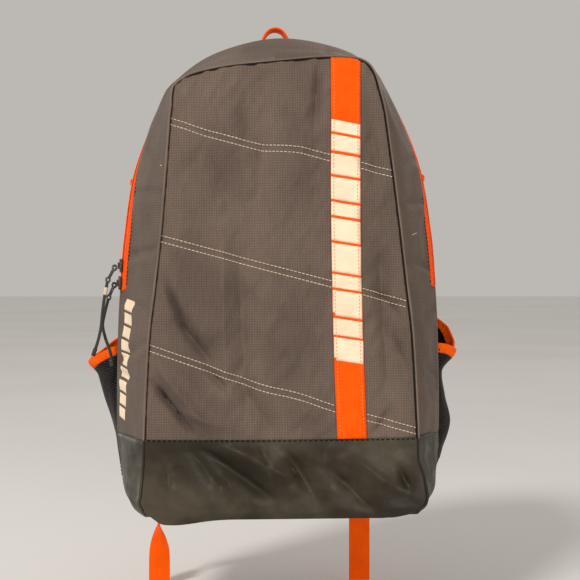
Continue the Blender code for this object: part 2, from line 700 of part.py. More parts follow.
def lower_webbing():
    wing_depth = 0.0020
    wing = ((0.1490, 0.030), (0.1525, 0.082), (0.1300, 0.078), (0.1240, 0.056))
    run = ((0.1400, BACK_Y + 0.0044, 0.044), (0.1365, BACK_Y + 0.0048, 0.058), (0.1250, 0.0270, 0.084),
           (0.1120, 0.0350, 0.104), (LOCK_X, 0.0405, 0.1190), (LOCK_X, LOCK_Y - MIDDLE_LOOP_RADIUS, 0.1280))
    for side, sign in (("left", -1), ("right", 1)):
        outline = [(sign * x, height) for x, height in wing]
        plate(f"anchor_wing_{side}", [outline], wing_depth, (0, BACK_Y + GAP + wing_depth / 2, 0), "coated")
        path = [mirrored(point, sign) for point in run]

        def level_side(s):
            here = along(path, (len(path) - 1) * min(s, 0.99))
            ahead = along(path, (len(path) - 1) * min(s, 0.99) + 0.01) - here
            return Vector((ahead.z, 0, -ahead.x)).normalized()

        ribbon(f"adjust_webbing_{side}", path, level_side, WEB_WIDTH, "orange_web", "pack")


def main():
    clear_scene()
    bpy.context.scene.collection.children.link(parts)
    add_pivot("pack", (0, 0, 0))
    add_pivot("flap", (0, ZIP_Y, HINGE_HEIGHT), "pack")
    front_panels()
    side_panels()
    base_and_stiffeners()
    back_panel()
    zip_halves()
    piping()
    stripe()
    sliders()
    side_pockets()
    side_loops()
    haul_loop()
    shoulder_straps()
    ladder_locks()
    strap_tails()
    lower_webbing()


main()
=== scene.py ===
"""Looks of the hanging backpack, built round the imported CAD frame.

Metres in the frame's axes: +Z up, -Y the front, the origin at the seat of the haul loop. In the tables, z
is measured from the origin, and a height from the base's underside, which is SEAT_HEIGHT below the origin.
"""

import math

import bmesh
import bpy
import numpy as np
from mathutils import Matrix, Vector
from mathutils.bvhtree import BVHTree


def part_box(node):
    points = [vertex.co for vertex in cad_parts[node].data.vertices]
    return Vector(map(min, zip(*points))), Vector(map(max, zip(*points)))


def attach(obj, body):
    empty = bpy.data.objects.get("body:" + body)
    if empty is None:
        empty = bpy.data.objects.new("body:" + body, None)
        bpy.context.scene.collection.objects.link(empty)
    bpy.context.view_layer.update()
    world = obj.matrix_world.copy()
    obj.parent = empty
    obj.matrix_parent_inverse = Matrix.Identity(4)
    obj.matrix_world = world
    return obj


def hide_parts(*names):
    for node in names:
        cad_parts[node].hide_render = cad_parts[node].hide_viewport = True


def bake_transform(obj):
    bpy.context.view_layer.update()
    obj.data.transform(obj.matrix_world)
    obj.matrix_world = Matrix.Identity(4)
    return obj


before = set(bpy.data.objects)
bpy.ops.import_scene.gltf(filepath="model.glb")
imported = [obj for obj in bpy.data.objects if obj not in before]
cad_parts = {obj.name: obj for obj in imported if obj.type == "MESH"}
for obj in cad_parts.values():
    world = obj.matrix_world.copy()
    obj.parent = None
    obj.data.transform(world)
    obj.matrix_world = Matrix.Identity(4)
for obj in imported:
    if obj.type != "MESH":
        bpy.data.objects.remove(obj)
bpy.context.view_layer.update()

# The bag's shape, as in the CAD model: outlines of its front, its zip and its back as (x, height), from the
# base up the right side to the crown
SEAT_HEIGHT = 0.5330
FRONT_Y, ZIP_Y, BACK_Y = -0.178, -0.112, 0.014
OUTLINES = (
    ((0.128, 0.003), (0.149, 0.003), (0.138, 0.003)),
    ((0.1380, 0.022), (0.1630, 0.028), (0.149, 0.026)),
    ((0.1375, 0.082), (0.1695, 0.082), (0.154, 0.082)),
    ((0.1330, 0.181), (0.1690, 0.181), (0.154, 0.181)),
    ((0.1270, 0.236), (0.1665, 0.236), (0.152, 0.236)),
    ((0.1210, 0.291), (0.1620, 0.291), (0.149, 0.291)),
    ((0.1140, 0.360), (0.1500, 0.362), (0.143, 0.365)),
    ((0.1065, 0.420), (0.1220, 0.430), (0.124, 0.432)),
    ((0.0940, 0.450), (0.0980, 0.462), (0.100, 0.464)),
    ((0.0600, 0.4600), (0.0600, 0.4850), (0.062, 0.484)),
    ((0.0, 0.4615), (0.0, 0.4965), (0.0, 0.494)),
)
BASE, BOOT_TOP, ZIP_END, FOLD_HIGH, CORNER, CROWN = 0, 2, 4, 5, 8, 10  # rows of OUTLINES
# The front's tilt down to the left and its fading towards the back, its bulge, and how round the sides are
SLUMP, SLUMP_FADE, FRONT_BULGE, FLARE_ROUNDING = 0.12, 1.8, 0.010, 0.25
# In steps of depth: how far the cloth stands back from the zip, and where the tapes and the cloths meet;
# ZIP_FOOT is the part of a row over which the cloth closes below the zip
ZIP_FRONT, ZIP_REAR, ZIP_FOOT = 0.188, 0.086, 0.10
ZIP_MEET, GUSSET_MEET = (0.992, 1.006), (0.998, 1.001)

# Cloth and trim
CLOTH, COATED, TAPE, WEB = 0.0016, 0.0018, 0.0012, 0.0016
STRIPE_WIDTH, STRIPE_LOW_X, STRIPE_HIGH_X = 0.0300, 0.0698, 0.0637
WEB_WIDTH = 0.025

# Centre lines of the pull cords, as (x, height), and the depths at which they hang
CORD_RADIUS = 0.0018
CORD_ROUTES = {
    "upper": ((-0.1805, 0.2405), (-0.1835, 0.2250), (-0.1856, 0.2090), (-0.1872, 0.1930),
              (-0.1905, 0.1780), (-0.1955, 0.1630)),
    "lower": ((-0.1805, 0.2220), (-0.1840, 0.2080), (-0.1862, 0.1948), (-0.1836, 0.1820),
              (-0.1785, 0.1670), (-0.1760, 0.1510)),
}
CORD_DEPTHS = {"upper": -0.1155, "lower": -0.1085}

# Right shoulder strap's middle line as (x, y, height, width), and the webbing's places at its ladder lock
STRAP_LINE = (
    (0.042, 0.0238, 0.464, 0.062), (0.045, 0.0266, 0.440, 0.064), (0.052, 0.0365, 0.405, 0.066),
    (0.064, 0.0500, 0.350, 0.064), (0.078, 0.0550, 0.290, 0.058), (0.092, 0.0500, 0.225, 0.052),
    (0.101, 0.0445, 0.172, 0.046),
)
STRAP_DEPTH = 0.012
LOCK_X, LOCK_Y, LOCK_TOP_BAR, LOCK_MIDDLE_BAR = 0.1035, 0.0455, 0.1475, 0.1320
TOP_LOOP_RADIUS, MIDDLE_LOOP_RADIUS = 0.0041, 0.0037
TAIL_END = -0.119
TAIL_DRIFT = {"left": -0.0335, "right": 0.0005}
TAIL_TWIST = {"left": math.pi, "right": 0.0}
TWIST_TOP, TWIST_LOW = 0.006, -0.100
TAIL_GAP, HEM = 0.0015, 0.016

# Side pockets: how far each stands off the flank, as (height, distance); its mouth's heights at the front
# and the rear and how far it dips between them; and an exponent, lower for a boxier bulge
POCKET_FRONT_Y, POCKET_REAR_Y, BINDING = -0.094, 0.002, 0.0105
MOUTH_LENGTH, GATHER_PITCH = 0.10, 0.0042
LOOP_REACH = 0.42  # how much of the CAD loop's reach a tie loop takes up
POCKETS = {
    "left": {
        "bulge": ((0.034, 0.002), (0.060, 0.007), (0.081, 0.011), (0.110, 0.020), (0.141, 0.031),
                  (0.1535, 0.042), (0.190, 0.048)),
        "mouth": (0.174, 0.189, 0.027),
        "round": 0.8,
    },
    "right": {
        "bulge": ((0.034, 0.003), (0.049, 0.013), (0.086, 0.025), (0.118, 0.018), (0.143, 0.014),
                  (0.156, 0.028), (0.190, 0.050)),
        "mouth": (0.174, 0.212, 0.025),
        "round": 0.5,
    },
}
SIDES = (("left", -1), ("right", 1))


# Curves and surfaces of the bag, for arrays of places

def along(points, t):
    """Smooth curve through points; t counts them from 0."""
    points, t = np.array(points, float), np.asarray(t, float)
    last = len(points) - 1
    k = np.clip(np.floor(t).astype(int), 0, last - 1)
    s, k1 = (t - k)[..., None], k[..., None]
    b, c = points[k], points[k + 1]
    a = np.where(k1 > 0, points[np.maximum(k - 1, 0)], 2 * b - c)
    d = np.where(k1 + 2 <= last, points[np.minimum(k + 2, last)], 2 * c - b)
    return 0.5 * (2 * b + (c - a) * s + (2 * a - 5 * b + 4 * c - d) * s**2 + (3 * b - a - 3 * c + d) * s**3)


def smoothstep(low, high, value):
    t = np.clip((value - low) / (high - low), 0.0, 1.0)
    return t * t * (3 - 2 * t)


def bell(distance, width):
    """A smooth bump: 1 at no distance, fading over the width."""
    return np.exp(-((distance / width) ** 2))


def hump(share):
    """A smooth rise from 0 to 1 and back to 0, over a share from 0 to 1."""
    return np.sin(math.pi * share)


def outline_point(edge, row):
    """x and height of outline edge (0 front, 1 zip, 2 back) at a row; negative rows are the left side."""
    points = [rows[edge] for rows in OUTLINES]
    points.append((-points[-2][0], points[-2][1]))
    place = along(points, np.abs(row))
    return np.where(row < 0, -1.0, 1.0) * place[..., 0], place[..., 1]


# How far the soft cloth of the front has shifted across, as (height, left side, right side)
LEAN = np.array((
    (0.003, -0.0110, 0.0075), (0.012, -0.0070, 0.0090), (0.024, -0.0030, 0.0085), (0.045, -0.0005, 0.0045),
    (0.060, 0.0, -0.0005), (0.090, 0.0, 0.0), (0.290, 0.0, -0.0015), (0.340, -0.0010, -0.0030),
    (0.400, -0.0030, -0.0050), (0.425, -0.0050, -0.0070), (0.445, -0.0095, -0.0075),
    (0.460, -0.0060, -0.0060), (0.480, -0.0045, -0.0050),
))


def corner_rise(x, share):
    """How far the boot's soft front corners curl up from the base."""
    left, right = 0.01 * smoothstep(0.106, 0.13, -x), 0.0042 * smoothstep(0.102, 0.13, x)
    return share**3 * (left + right)


def slumped(x, y, height):
    """World points of the loaded bag, whose left shoulder hangs lower than its right one."""
    share = np.clip((BACK_Y - y) / (BACK_Y - FRONT_Y), 0.0, None)
    lift = SLUMP * share**SLUMP_FADE * x * (height / OUTLINES[CROWN][1][1]) ** 2
    left, right = (np.interp(height, LEAN[:, 0], LEAN[:, column]) for column in (1, 2))
    across = smoothstep(-0.13, 0.13, x)
    lean = share**1.5 * (left * (1 - across) + right * across)
    sag = 0.0055 * share**2 * bell(x + 0.098, 0.03) * (1 - smoothstep(0.0, 0.06, height))
    sag = sag - corner_rise(x, share) * (1 - smoothstep(0.0, 0.035, height))
    return np.stack(np.broadcast_arrays(x + lean, y, height + lift - sag - SEAT_HEIGHT), -1)


def depth_y(step):
    """Depth of a step: 0 at the front seam, 1 at the zip, 2 at the back panel."""
    return np.where(step <= 1, FRONT_Y + (ZIP_Y - FRONT_Y) * step, ZIP_Y + (BACK_Y - ZIP_Y) * (step - 1))


def depth_step(y):
    return np.where(y <= ZIP_Y, (y - FRONT_Y) / (ZIP_Y - FRONT_Y), 1 + (y - ZIP_Y) / (BACK_Y - ZIP_Y))


def skin(row, step):
    """Points of the bag's outer surface between its front seam and its back panel."""
    row, step = np.broadcast_arrays(np.asarray(row, float), np.asarray(step, float))
    front, middle, rear = (outline_point(edge, row) for edge in range(3))
    before = (1 - FLARE_ROUNDING) * step + FLARE_ROUNDING * np.sin(step * math.pi / 2)
    after = 1 - np.cos((step - 1) * math.pi / 2)
    x, height = (np.where(step <= 1, front[k] + (middle[k] - front[k]) * before,
                          middle[k] + (rear[k] - middle[k]) * after) for k in range(2))
    return slumped(x, depth_y(step), height)


def over_top(count):
    """Rows counted up the right side, over the crown and down the left side, as signed rows."""
    return np.where(count <= CROWN, count, count - 2 * CROWN)


def front_face(row, across):
    """Points of the front panel: across is -1 at its left seam and 1 at its right one."""
    row, across = np.broadcast_arrays(np.asarray(row, float), np.asarray(across, float))
    side_x, side_z = outline_point(0, row)
    share = np.abs(across)
    low_x, low_z = outline_point(0, np.array(float(FOLD_HIGH)))
    corner_x, corner_z = outline_point(0, np.array(float(CORNER)))
    top_x, top_z = outline_point(0, CROWN - (CROWN - CORNER) * share)
    rise = np.clip((row - FOLD_HIGH) / (CORNER - FOLD_HIGH), 0.0, None)
    x = share * low_x * (1 - rise) + top_x * rise + share * (side_x - low_x - (corner_x - low_x) * rise)
    height = low_z * (1 - rise) + top_z * rise + share * (side_z - low_z - (corner_z - low_z) * rise)
    x, height = np.where(row > FOLD_HIGH, x, share * side_x), np.where(row > FOLD_HIGH, height, side_z)
    bulge = FRONT_BULGE * (1 - share**2) * hump(np.minimum(row / CORNER, 1.0)) ** 0.5
    points = slumped(np.sign(across) * x, FRONT_Y, height)
    points[..., 1] -= bulge
    return points


def row_at(height):
    """Rows at which the zip's outline reaches the heights."""
    rows = np.linspace(0.0, CROWN, 1201)
    return np.interp(height, outline_point(1, rows)[1], rows)


# Wrinkles

def ripple(x, z, size, seed):
    """A smooth random field, about -1 to 1, with bumps of this size."""
    table = np.random.default_rng(seed).uniform(-1, 1, (64, 64))
    u, v = x / size + 32, z / size + 32
    i, j = np.floor(u).astype(int), np.floor(v).astype(int)
    s, t = u - i, v - j
    s, t = s * s * (3 - 2 * s), t * t * (3 - 2 * t)
    near, far = (table[i % 64, k % 64] * (1 - s) + table[(i + 1) % 64, k % 64] * s for k in (j, j + 1))
    return near * (1 - t) + far * t


def crease(x, z, start, end, width, depth):
    """A valley (or a ridge, where depth is negative) between two places, fading at both ends."""
    run = np.subtract(end, start)
    share = ((x - start[0]) * run[0] + (z - start[1]) * run[1]) / (run @ run)
    held = np.clip(share, 0, 1)
    away = np.hypot(x - start[0] - held * run[0], z - start[1] - held * run[1])
    fade = hump(np.clip(0.12 + 0.76 * held, 0, 1))
    return -depth * np.exp(-((away / width) ** 1.35)) * fade


# Creases of the front, as start and end (each x, z), width and depth; a negative depth is a ridge
FRONT_CREASES = (
    ((-0.136, -0.384), (-0.090, -0.442), 0.0030, 0.0062),
    ((-0.126, -0.376), (-0.078, -0.432), 0.0060, -0.0040),
    ((-0.118, -0.290), (-0.094, -0.346), 0.0038, 0.0044),
    ((-0.098, -0.338), (-0.072, -0.372), 0.0052, 0.0048),
    ((-0.060, -0.240), (-0.056, -0.410), 0.0095, -0.0034),
    ((-0.043, -0.262), (-0.036, -0.430), 0.0080, 0.0026),
    ((-0.044, -0.392), (-0.012, -0.440), 0.0110, 0.0030),
    ((-0.080, -0.150), (-0.040, -0.250), 0.0100, 0.0020),
    ((0.094, -0.300), (0.122, -0.330), 0.0065, 0.0028),
    ((0.100, -0.318), (0.128, -0.300), 0.0070, -0.0018),
    ((0.112, -0.350), (0.132, -0.390), 0.0050, 0.0024),
    ((0.037, -0.074), (0.032, -0.135), 0.0050, 0.0032),
    ((0.022, -0.070), (0.018, -0.190), 0.0100, -0.0020),
    ((-0.012, -0.080), (-0.030, -0.260), 0.0120, 0.0018),
    ((0.020, -0.330), (0.016, -0.420), 0.0140, 0.0016),
    ((0.098, -0.260), (0.108, -0.400), 0.0070, 0.0028),
    ((-0.076, -0.378), (-0.054, -0.402), 0.0038, 0.0036),
    ((-0.104, -0.420), (-0.060, -0.436), 0.0060, -0.0026),
    ((0.108, -0.420), (0.092, -0.446), 0.0050, 0.0026),
    ((0.088, -0.120), (0.096, -0.200), 0.0080, 0.0018),
)
BOOT_CREASES = (
    ((-0.085, -0.456), (-0.010, -0.508), 0.0080, 0.0036),
    ((-0.060, -0.452), (0.012, -0.490), 0.0110, -0.0040),
    ((-0.020, -0.458), (-0.012, -0.480), 0.0060, 0.0020),
    ((0.004, -0.462), (0.036, -0.512), 0.0090, 0.0034),
    ((0.046, -0.478), (0.090, -0.520), 0.0070, 0.0024),
    ((0.074, -0.470), (0.108, -0.496), 0.0065, -0.0018),
    ((-0.090, -0.462), (-0.060, -0.500), 0.0080, 0.0020),
    ((-0.115, -0.470), (-0.112, -0.520), 0.0060, -0.0016),
    ((0.118, -0.480), (0.128, -0.500), 0.0050, 0.0026),
)


def creased(x, z, creases):
    return 3.0 * sum(crease(x, z, *values) for values in creases)


def front_relief(x, z, edge):
    """How far the front cloth stands out at a place; edge is its distance from the nearest seam."""
    upright = 0.0022 * ripple(x, z * 0.3, 0.034, 3) + 0.0014 * ripple(x, z * 0.5, 0.017, 4)
    soft = 0.0026 * ripple(x + z * 0.4, z, 0.026, 5) + 0.0012 * ripple(x, z - x, 0.012, 7)
    pucker = 0.0006 * ripple(x + z, x - z, 0.0068, 6) * np.exp(-edge / 0.012)
    return (upright + soft + creased(x, z, FRONT_CREASES)) * smoothstep(0.0, 0.022, edge) + pucker


def gathers(x, below):
    """Small upright gathers under the top seam."""
    return 0.0016 * ripple(x, below * 0.2, 0.0075, 8) * np.exp(-below / 0.016) * smoothstep(0.0, 0.003, below)


# Meshes

def unit(vectors):
    return vectors / np.linalg.norm(vectors, axis=-1, keepdims=True)


def lengths_along(path):
    """How far each point lies along a path."""
    return np.concatenate([[0], np.cumsum(np.linalg.norm(np.diff(path, axis=0), axis=1))])


def columns_at(at, lengths, values):
    """Rows of values, given at lengths along a path, at other places along it."""
    return np.stack([np.interp(at, lengths, values[:, k]) for k in range(3)], -1)


def new_object(name, mesh, look):
    obj = bpy.data.objects.new(name, mesh)
    bpy.context.scene.collection.objects.link(obj)
    mesh.materials.append(LOOKS[look])
    return obj


def mesh_from(name, points, faces, uvs=None):
    """A smooth mesh; uvs gives one (u, v) in metres for each point."""
    mesh = bpy.data.meshes.new(name)
    mesh.from_pydata(np.asarray(points, float).tolist(), [], faces)
    mesh.shade_smooth()
    if uvs is not None:
        layer = mesh.uv_layers.new(name="cloth")
        corners = np.empty(len(mesh.loops), int)
        mesh.loops.foreach_get("vertex_index", corners)
        layer.uv.foreach_set("vector", np.asarray(uvs, np.float32)[corners].ravel())
    return mesh


def facing_out(mesh):
    """The closed mesh with all its faces turned outward."""
    turned = bmesh.new()
    turned.from_mesh(mesh)
    bmesh.ops.recalc_face_normals(turned, faces=turned.faces)
    turned.to_mesh(mesh)
    turned.free()
    return mesh


def coordinates(mesh):
    return np.array([v.co[:] for v in mesh.vertices])


def thickened(obj, thickness, offset=-1.0):
    shell = obj.modifiers.new("thickness", "SOLIDIFY")
    shell.thickness = thickness
    shell.offset = offset
    return obj


def grid_faces(rows, columns, wrap=False):
    """Quads of a grid of points; wrap joins its last column to its first."""
    across = np.arange(columns if wrap else columns - 1)
    i, j = np.meshgrid(np.arange(rows - 1), across, indexing="ij")
    j2 = (j + 1) % columns
    quads = np.stack([i * columns + j, i * columns + j2, (i + 1) * columns + j2, (i + 1) * columns + j], -1)
    return quads.reshape(-1, 4)


def tube_faces(rings, sides):
    """Faces of a closed tube: rings of points and two flat ends."""
    ends = [list(range(sides))[::-1], [(rings - 1) * sides + k for k in range(sides)]]
    return grid_faces(rings, sides, wrap=True).tolist() + ends


def lengths_uv(points):
    """A straight (u, v) in metres for a grid, from its mean lengths across and along."""
    across = np.linalg.norm(np.diff(points, axis=1), axis=-1).mean(0)
    up = np.linalg.norm(np.diff(points, axis=0), axis=-1).mean(1)
    u, v = np.concatenate([[0], np.cumsum(across)]), np.concatenate([[0], np.cumsum(up)])
    return np.stack(np.meshgrid(u - u[-1] / 2, v), -1)


def sheet(name, surface, columns, rows, thickness, look, outward=None, uv=lengths_uv):
    """A curved cloth, facing outward or away from the bag; surface maps arrays of (0..1, 0..1) to points."""
    s, t = np.meshgrid(np.linspace(0, 1, columns + 1), np.linspace(0, 1, rows + 1))
    points = surface(s, t)
    faces = grid_faces(rows + 1, columns + 1)
    corners = points.reshape(-1, 3)[faces]
    normals = np.cross(corners[:, 1] - corners[:, 0], corners[:, 3] - corners[:, 0])
    away = corners.mean(1) - np.array((0, -0.08, -0.3)) if outward is None else np.array(outward)
    if (normals * away).sum() < 0:
        faces = faces[:, ::-1]
    mesh = mesh_from(name, points.reshape(-1, 3), faces.tolist(), uv(points).reshape(-1, 2))
    return thickened(new_object(name, mesh, look), thickness)


def surface_tree(obj):
    """The piece's outer surface, for laying other pieces on it."""
    return BVHTree.FromPolygons([v.co for v in obj.data.vertices], [p.vertices for p in obj.data.polygons])


def laid(tree, points, direction):
    """Points cast along a direction onto a surface, and the surface's normals there."""
    places, normals, direction = [], [], Vector(direction)
    for point in points:
        hit, normal, _, _ = tree.ray_cast(Vector(point), direction)
        if hit is not None:
            places.append(hit)
            normals.append(normal if normal.dot(direction) < 0 else -normal)
    return np.array(places), np.array(normals)


def laid_on_front(tree, line):
    """A line of (x, z) laid on a surface from the front."""
    return laid(tree, [(x, AHEAD_Y, z) for x, z in line], (0, 1, 0))


def cast_grid(tree, places, axis, missed, lift):
    """Places moved along an axis (0: x, 1: y) onto a surface, or to missed, and back from it by lift."""
    direction, lift = Vector(np.eye(3)[axis]), np.broadcast_to(lift, places.shape[:-1])
    for index in np.ndindex(places.shape[:-1]):
        hit, _, _, _ = tree.ray_cast(Vector(places[index]), direction)
        places[index][axis] = (hit[axis] if hit else missed) - lift[index]
    return places


def swept(name, path, up, profile, look):
    """A closed cross-section of (across, out) points carried along a path, its out turned towards up."""
    path, profile = np.asarray(path, float), np.asarray(profile, float)
    tangents = unit(np.gradient(path, axis=0))
    sides = unit(np.cross(tangents, np.broadcast_to(np.asarray(up, float), path.shape)))
    normals = np.cross(sides, tangents)
    profiles = profile if profile.ndim == 3 else np.broadcast_to(profile, (len(path), *profile.shape))
    points = path[:, None] + sides[:, None] * profiles[..., :1] + normals[:, None] * profiles[..., 1:]
    lengths = np.broadcast_to(lengths_along(path)[:, None], profiles.shape[:2])
    uvs = np.stack([profiles[..., 0], lengths], -1).reshape(-1, 2)
    mesh = mesh_from(name, points.reshape(-1, 3), tube_faces(*profiles.shape[:2]), uvs)
    return new_object(name, facing_out(mesh), look)


def round_profile(radius, sides=8, squash=1.0):
    angles = np.arange(sides) * 2 * math.pi / sides
    return np.stack([radius * np.cos(angles), radius * squash * np.sin(angles)], -1)


def band_profile(width, thickness):
    """Cross-section of flat webbing with rounded selvedges."""
    half, rim = width / 2, thickness / 2
    places = np.linspace(-half + rim, half - rim, 7)
    top = [(x, rim * (1 - 0.25 * abs(x / half) ** 8)) for x in places]
    end = [(half - rim + rim * math.cos(a), rim * math.sin(a)) for a in np.linspace(1.1, -1.1, 4)]
    low = [(x, -y) for x, y in reversed(top)]
    start = [(-x, y) for x, y in reversed(end)]
    return np.array(top + end + low + start)


def resampled(path, gap):
    """Points at even gaps along a path."""
    path = np.asarray(path, float)
    lengths = lengths_along(path)
    count = max(2, int(round(lengths[-1] / gap)) + 1)
    return columns_at(np.linspace(0, lengths[-1], count), lengths, path)


# A stitch's rings, as (share of its length, share of its radius, rise in radii)
STITCH_RINGS = np.array(((0.0, 0.35, -0.9), (0.16, 0.95, -0.1), (0.5, 1.0, 0.25), (0.84, 0.95, -0.1),
                         (1.0, 0.35, -0.9)))
STITCH_SIDES = 6


def thread(name, lines, look, length=0.0030, gap=0.0008, radius=0.00042, sink=0.25):
    """Stitches along lines, each a list of (places, normals): one small raised bead of thread a stitch."""
    share, size, rise = STITCH_RINGS.T[..., None]
    turn = np.arange(STITCH_SIDES)[:, None] * 2 * math.pi / STITCH_SIDES
    shape = tube_faces(len(STITCH_RINGS), STITCH_SIDES)
    points, faces = [], []
    for places, normals in lines:
        if len(places) < 2:
            continue
        lengths = lengths_along(places)
        for start in np.arange(0, lengths[-1] - 0.6 * length, length + gap):
            at = start + share[:, 0] * length
            middle, normal = columns_at(at, lengths, places), unit(columns_at(at, lengths, normals))
            side = np.cross(unit(middle[-1] - middle[0]), normal)
            middle = middle + normal * (radius * (rise + 1 - sink * 2))
            ring = side[:, None] * np.cos(turn) + normal[:, None] * np.sin(turn)
            first = len(points) * len(STITCH_RINGS) * STITCH_SIDES
            points.append((middle[:, None] + ring * (radius * size)[:, None]).reshape(-1, 3))
            faces += [[first + k for k in face] for face in shape]
    mesh = mesh_from(name, np.concatenate(points), faces)
    return new_object(name, facing_out(mesh), look)


# Materials

class Look:
    """A procedural material while it is being built."""

    def __init__(self, name, colour, roughness, metallic=0.0, sheen=0.0, specular=0.5):
        self.material = bpy.data.materials.new(name)
        self.material.use_nodes = True
        self.tree = self.material.node_tree
        self.shader = self.tree.nodes["Principled BSDF"]
        self.colour = self.material.diffuse_color = (*colour, 1.0)
        for socket, value in (("Base Color", self.colour), ("Roughness", roughness), ("Metallic", metallic),
                              ("Sheen Weight", sheen), ("Sheen Roughness", 0.5),
                              ("Specular IOR Level", specular)):
            self.shader.inputs[socket].default_value = value

    def node(self, kind, **settings):
        node = self.tree.nodes.new(kind)
        for key, value in settings.items():
            setattr(node, key, value)
        return node

    def feed(self, socket, value):
        if hasattr(value, "is_linked"):
            self.tree.links.new(value, socket)
        else:
            socket.default_value = value

    def feed_all(self, node, **values):
        for socket, value in values.items():
            self.feed(node.inputs[socket], value)

    def math(self, operation, *values):
        node = self.node("ShaderNodeMath", operation=operation)
        for socket, value in zip(node.inputs, values):
            self.feed(socket, value)
        return node.outputs[0]

    def place(self, on_cloth=True):
        """Coordinates in metres: laid out on the cloth, or in the object's space."""
        if on_cloth:
            return self.node("ShaderNodeUVMap", uv_map="cloth").outputs["UV"]
        return self.node("ShaderNodeTexCoord").outputs["Object"]

    def axes(self, place):
        node = self.node("ShaderNodeSeparateXYZ")
        self.feed(node.inputs[0], place)
        return node.outputs

    def stretched(self, place, scale):
        node = self.node("ShaderNodeMapping")
        self.feed(node.inputs["Vector"], place)
        node.inputs["Scale"].default_value = scale
        return node.outputs["Vector"]

    def noise(self, place, scale, detail=3.0, roughness=0.5):
        node = self.node("ShaderNodeTexNoise")
        self.feed_all(node, Vector=place, Scale=scale, Detail=detail, Roughness=roughness)
        return node.outputs["Fac"]

    def patchy(self, place, scale, low, high, detail=3.0):
        """A value that drifts between low and high in soft patches."""
        return self.ramp(self.noise(place, scale, detail), 0.3, 0.7, low, high)

    def weave(self, place, pitch):
        u, v, _ = self.axes(place)
        return self.math("MULTIPLY", self.wave(u, pitch), self.wave(v, pitch))

    def ramp(self, value, low, high, start=0.0, end=1.0):
        node = self.node("ShaderNodeMapRange", interpolation_type="SMOOTHSTEP")
        for socket, number in zip(node.inputs, (value, low, high, start, end)):
            self.feed(socket, number)
        return node.outputs[0]

    def line(self, coordinate, pitch, half_width, soft):
        """1 on lines at this pitch, 0 between them."""
        away = self.math("PINGPONG", coordinate, pitch / 2)
        return self.ramp(away, half_width, half_width + soft, 1.0, 0.0)

    def wave(self, coordinate, pitch):
        """A rounded rib at this pitch, 0 to 1."""
        turned = self.math("MULTIPLY", coordinate, 2 * math.pi / pitch)
        return self.math("MULTIPLY_ADD", self.math("SINE", turned), 0.5, 0.5)

    def mix(self, share, first, second, blend="MIX"):
        node = self.node("ShaderNodeMix", data_type="RGBA", blend_type=blend)
        for socket, value in (("Factor", share), (6, first), (7, second)):
            self.feed(node.inputs[socket], value)
        return node.outputs[2]

    def toned(self, colour, place, scale, low, high, detail=3.0):
        """The colour made lighter and darker in soft patches."""
        grey = self.node("ShaderNodeCombineColor")
        tone = self.patchy(place, scale, low, high, detail)
        for socket in grey.inputs:
            self.feed(socket, tone)
        return self.mix(1.0, colour, grey.outputs[0], "MULTIPLY")

    def finish(self, colour=None, roughness=None, height=None, depth=0.0003, strength=0.6):
        if colour is not None:
            self.feed(self.shader.inputs["Base Color"], colour)
        if roughness is not None:
            self.feed(self.shader.inputs["Roughness"], roughness)
        if height is not None:
            bump = self.node("ShaderNodeBump")
            self.feed_all(bump, Strength=strength, Distance=depth, Height=height)
            self.feed(self.shader.inputs["Normal"], bump.outputs["Normal"])
        return self.material


def scaled(colour, factor):
    return (*(channel * factor for channel in colour[:3]), 1.0)


def ripstop_look(name, colour, contrast=0.50):
    """Grey polyester with a raised grid of thicker yarns, dusty and a little faded in patches."""
    look = Look(name, colour, 0.78, sheen=0.06, specular=0.2)
    cloth, body = look.place(), look.place(on_cloth=False)
    grid = look.math("MAXIMUM", *(look.line(axis, 0.0025, 0.00035, 0.0004) for axis in look.axes(cloth)[:2]))
    weave = look.weave(cloth, 0.0008)
    base = look.mix(look.math("MULTIPLY", grid, contrast), look.colour, scaled(colour, 0.45))
    base = look.toned(base, look.stretched(body, (1.0, 1.0, 0.45)), 16, 0.8, 1.12, 4)
    base = look.toned(base, look.stretched(cloth, (1.0, 0.12, 1.0)), 420, 0.95, 1.05, 2)
    base = look.toned(base, cloth, 700, 0.88, 1.1, 2)
    dust = look.ramp(look.noise(body, 34, 6, 0.65), 0.6, 0.78, 0.0, 0.13)
    base = look.mix(dust, base, (0.3, 0.25, 0.21, 1.0))
    height = look.math("ADD", look.math("MULTIPLY", grid, 0.8), look.math("MULTIPLY", weave, 0.5))
    return look.finish(base, look.patchy(cloth, 900, 0.7, 0.88, 2), height, 0.00022, 0.55)


def coated_look(name, colour):
    """Black tarpaulin cloth: half-glossy, with fine grain, pale scuffs, and soft lighter patches that are
    partly uneven tone and partly painted sheen highlight.
    """
    look = Look(name, colour, 0.5, specular=0.26)
    cloth, body = look.place(), look.place(on_cloth=False)
    scuffs = look.ramp(look.noise(look.stretched(body, (1.0, 1.0, 0.3)), 130, 6, 0.72), 0.6, 0.74)
    wear = look.ramp(look.noise(body, 22, 4, 0.6), 0.42, 0.7)
    marks = look.math("MULTIPLY", scuffs, look.math("MULTIPLY_ADD", wear, 0.4, 0.05))
    # Soft lighter patches in the colour: partly the cloth's uneven tone, partly painted sheen highlight.
    tone_and_sheen_patches = look.ramp(look.noise(body, 13, 5, 0.6), 0.38, 0.68)
    base = look.mix(tone_and_sheen_patches, look.colour, (0.056, 0.045, 0.027, 1.0))
    base = look.mix(marks, base, (0.24, 0.21, 0.165, 1.0))
    rough = look.ramp(look.noise(body, 55, 5, 0.6), 0.3, 0.7, 0.36, 0.6)
    weave = look.math("MULTIPLY", look.weave(cloth, 0.0011), 0.35)
    grain = look.math("ADD", weave, look.noise(cloth, 1500, 2))
    return look.finish(base, rough, grain, 0.00016, 0.45)


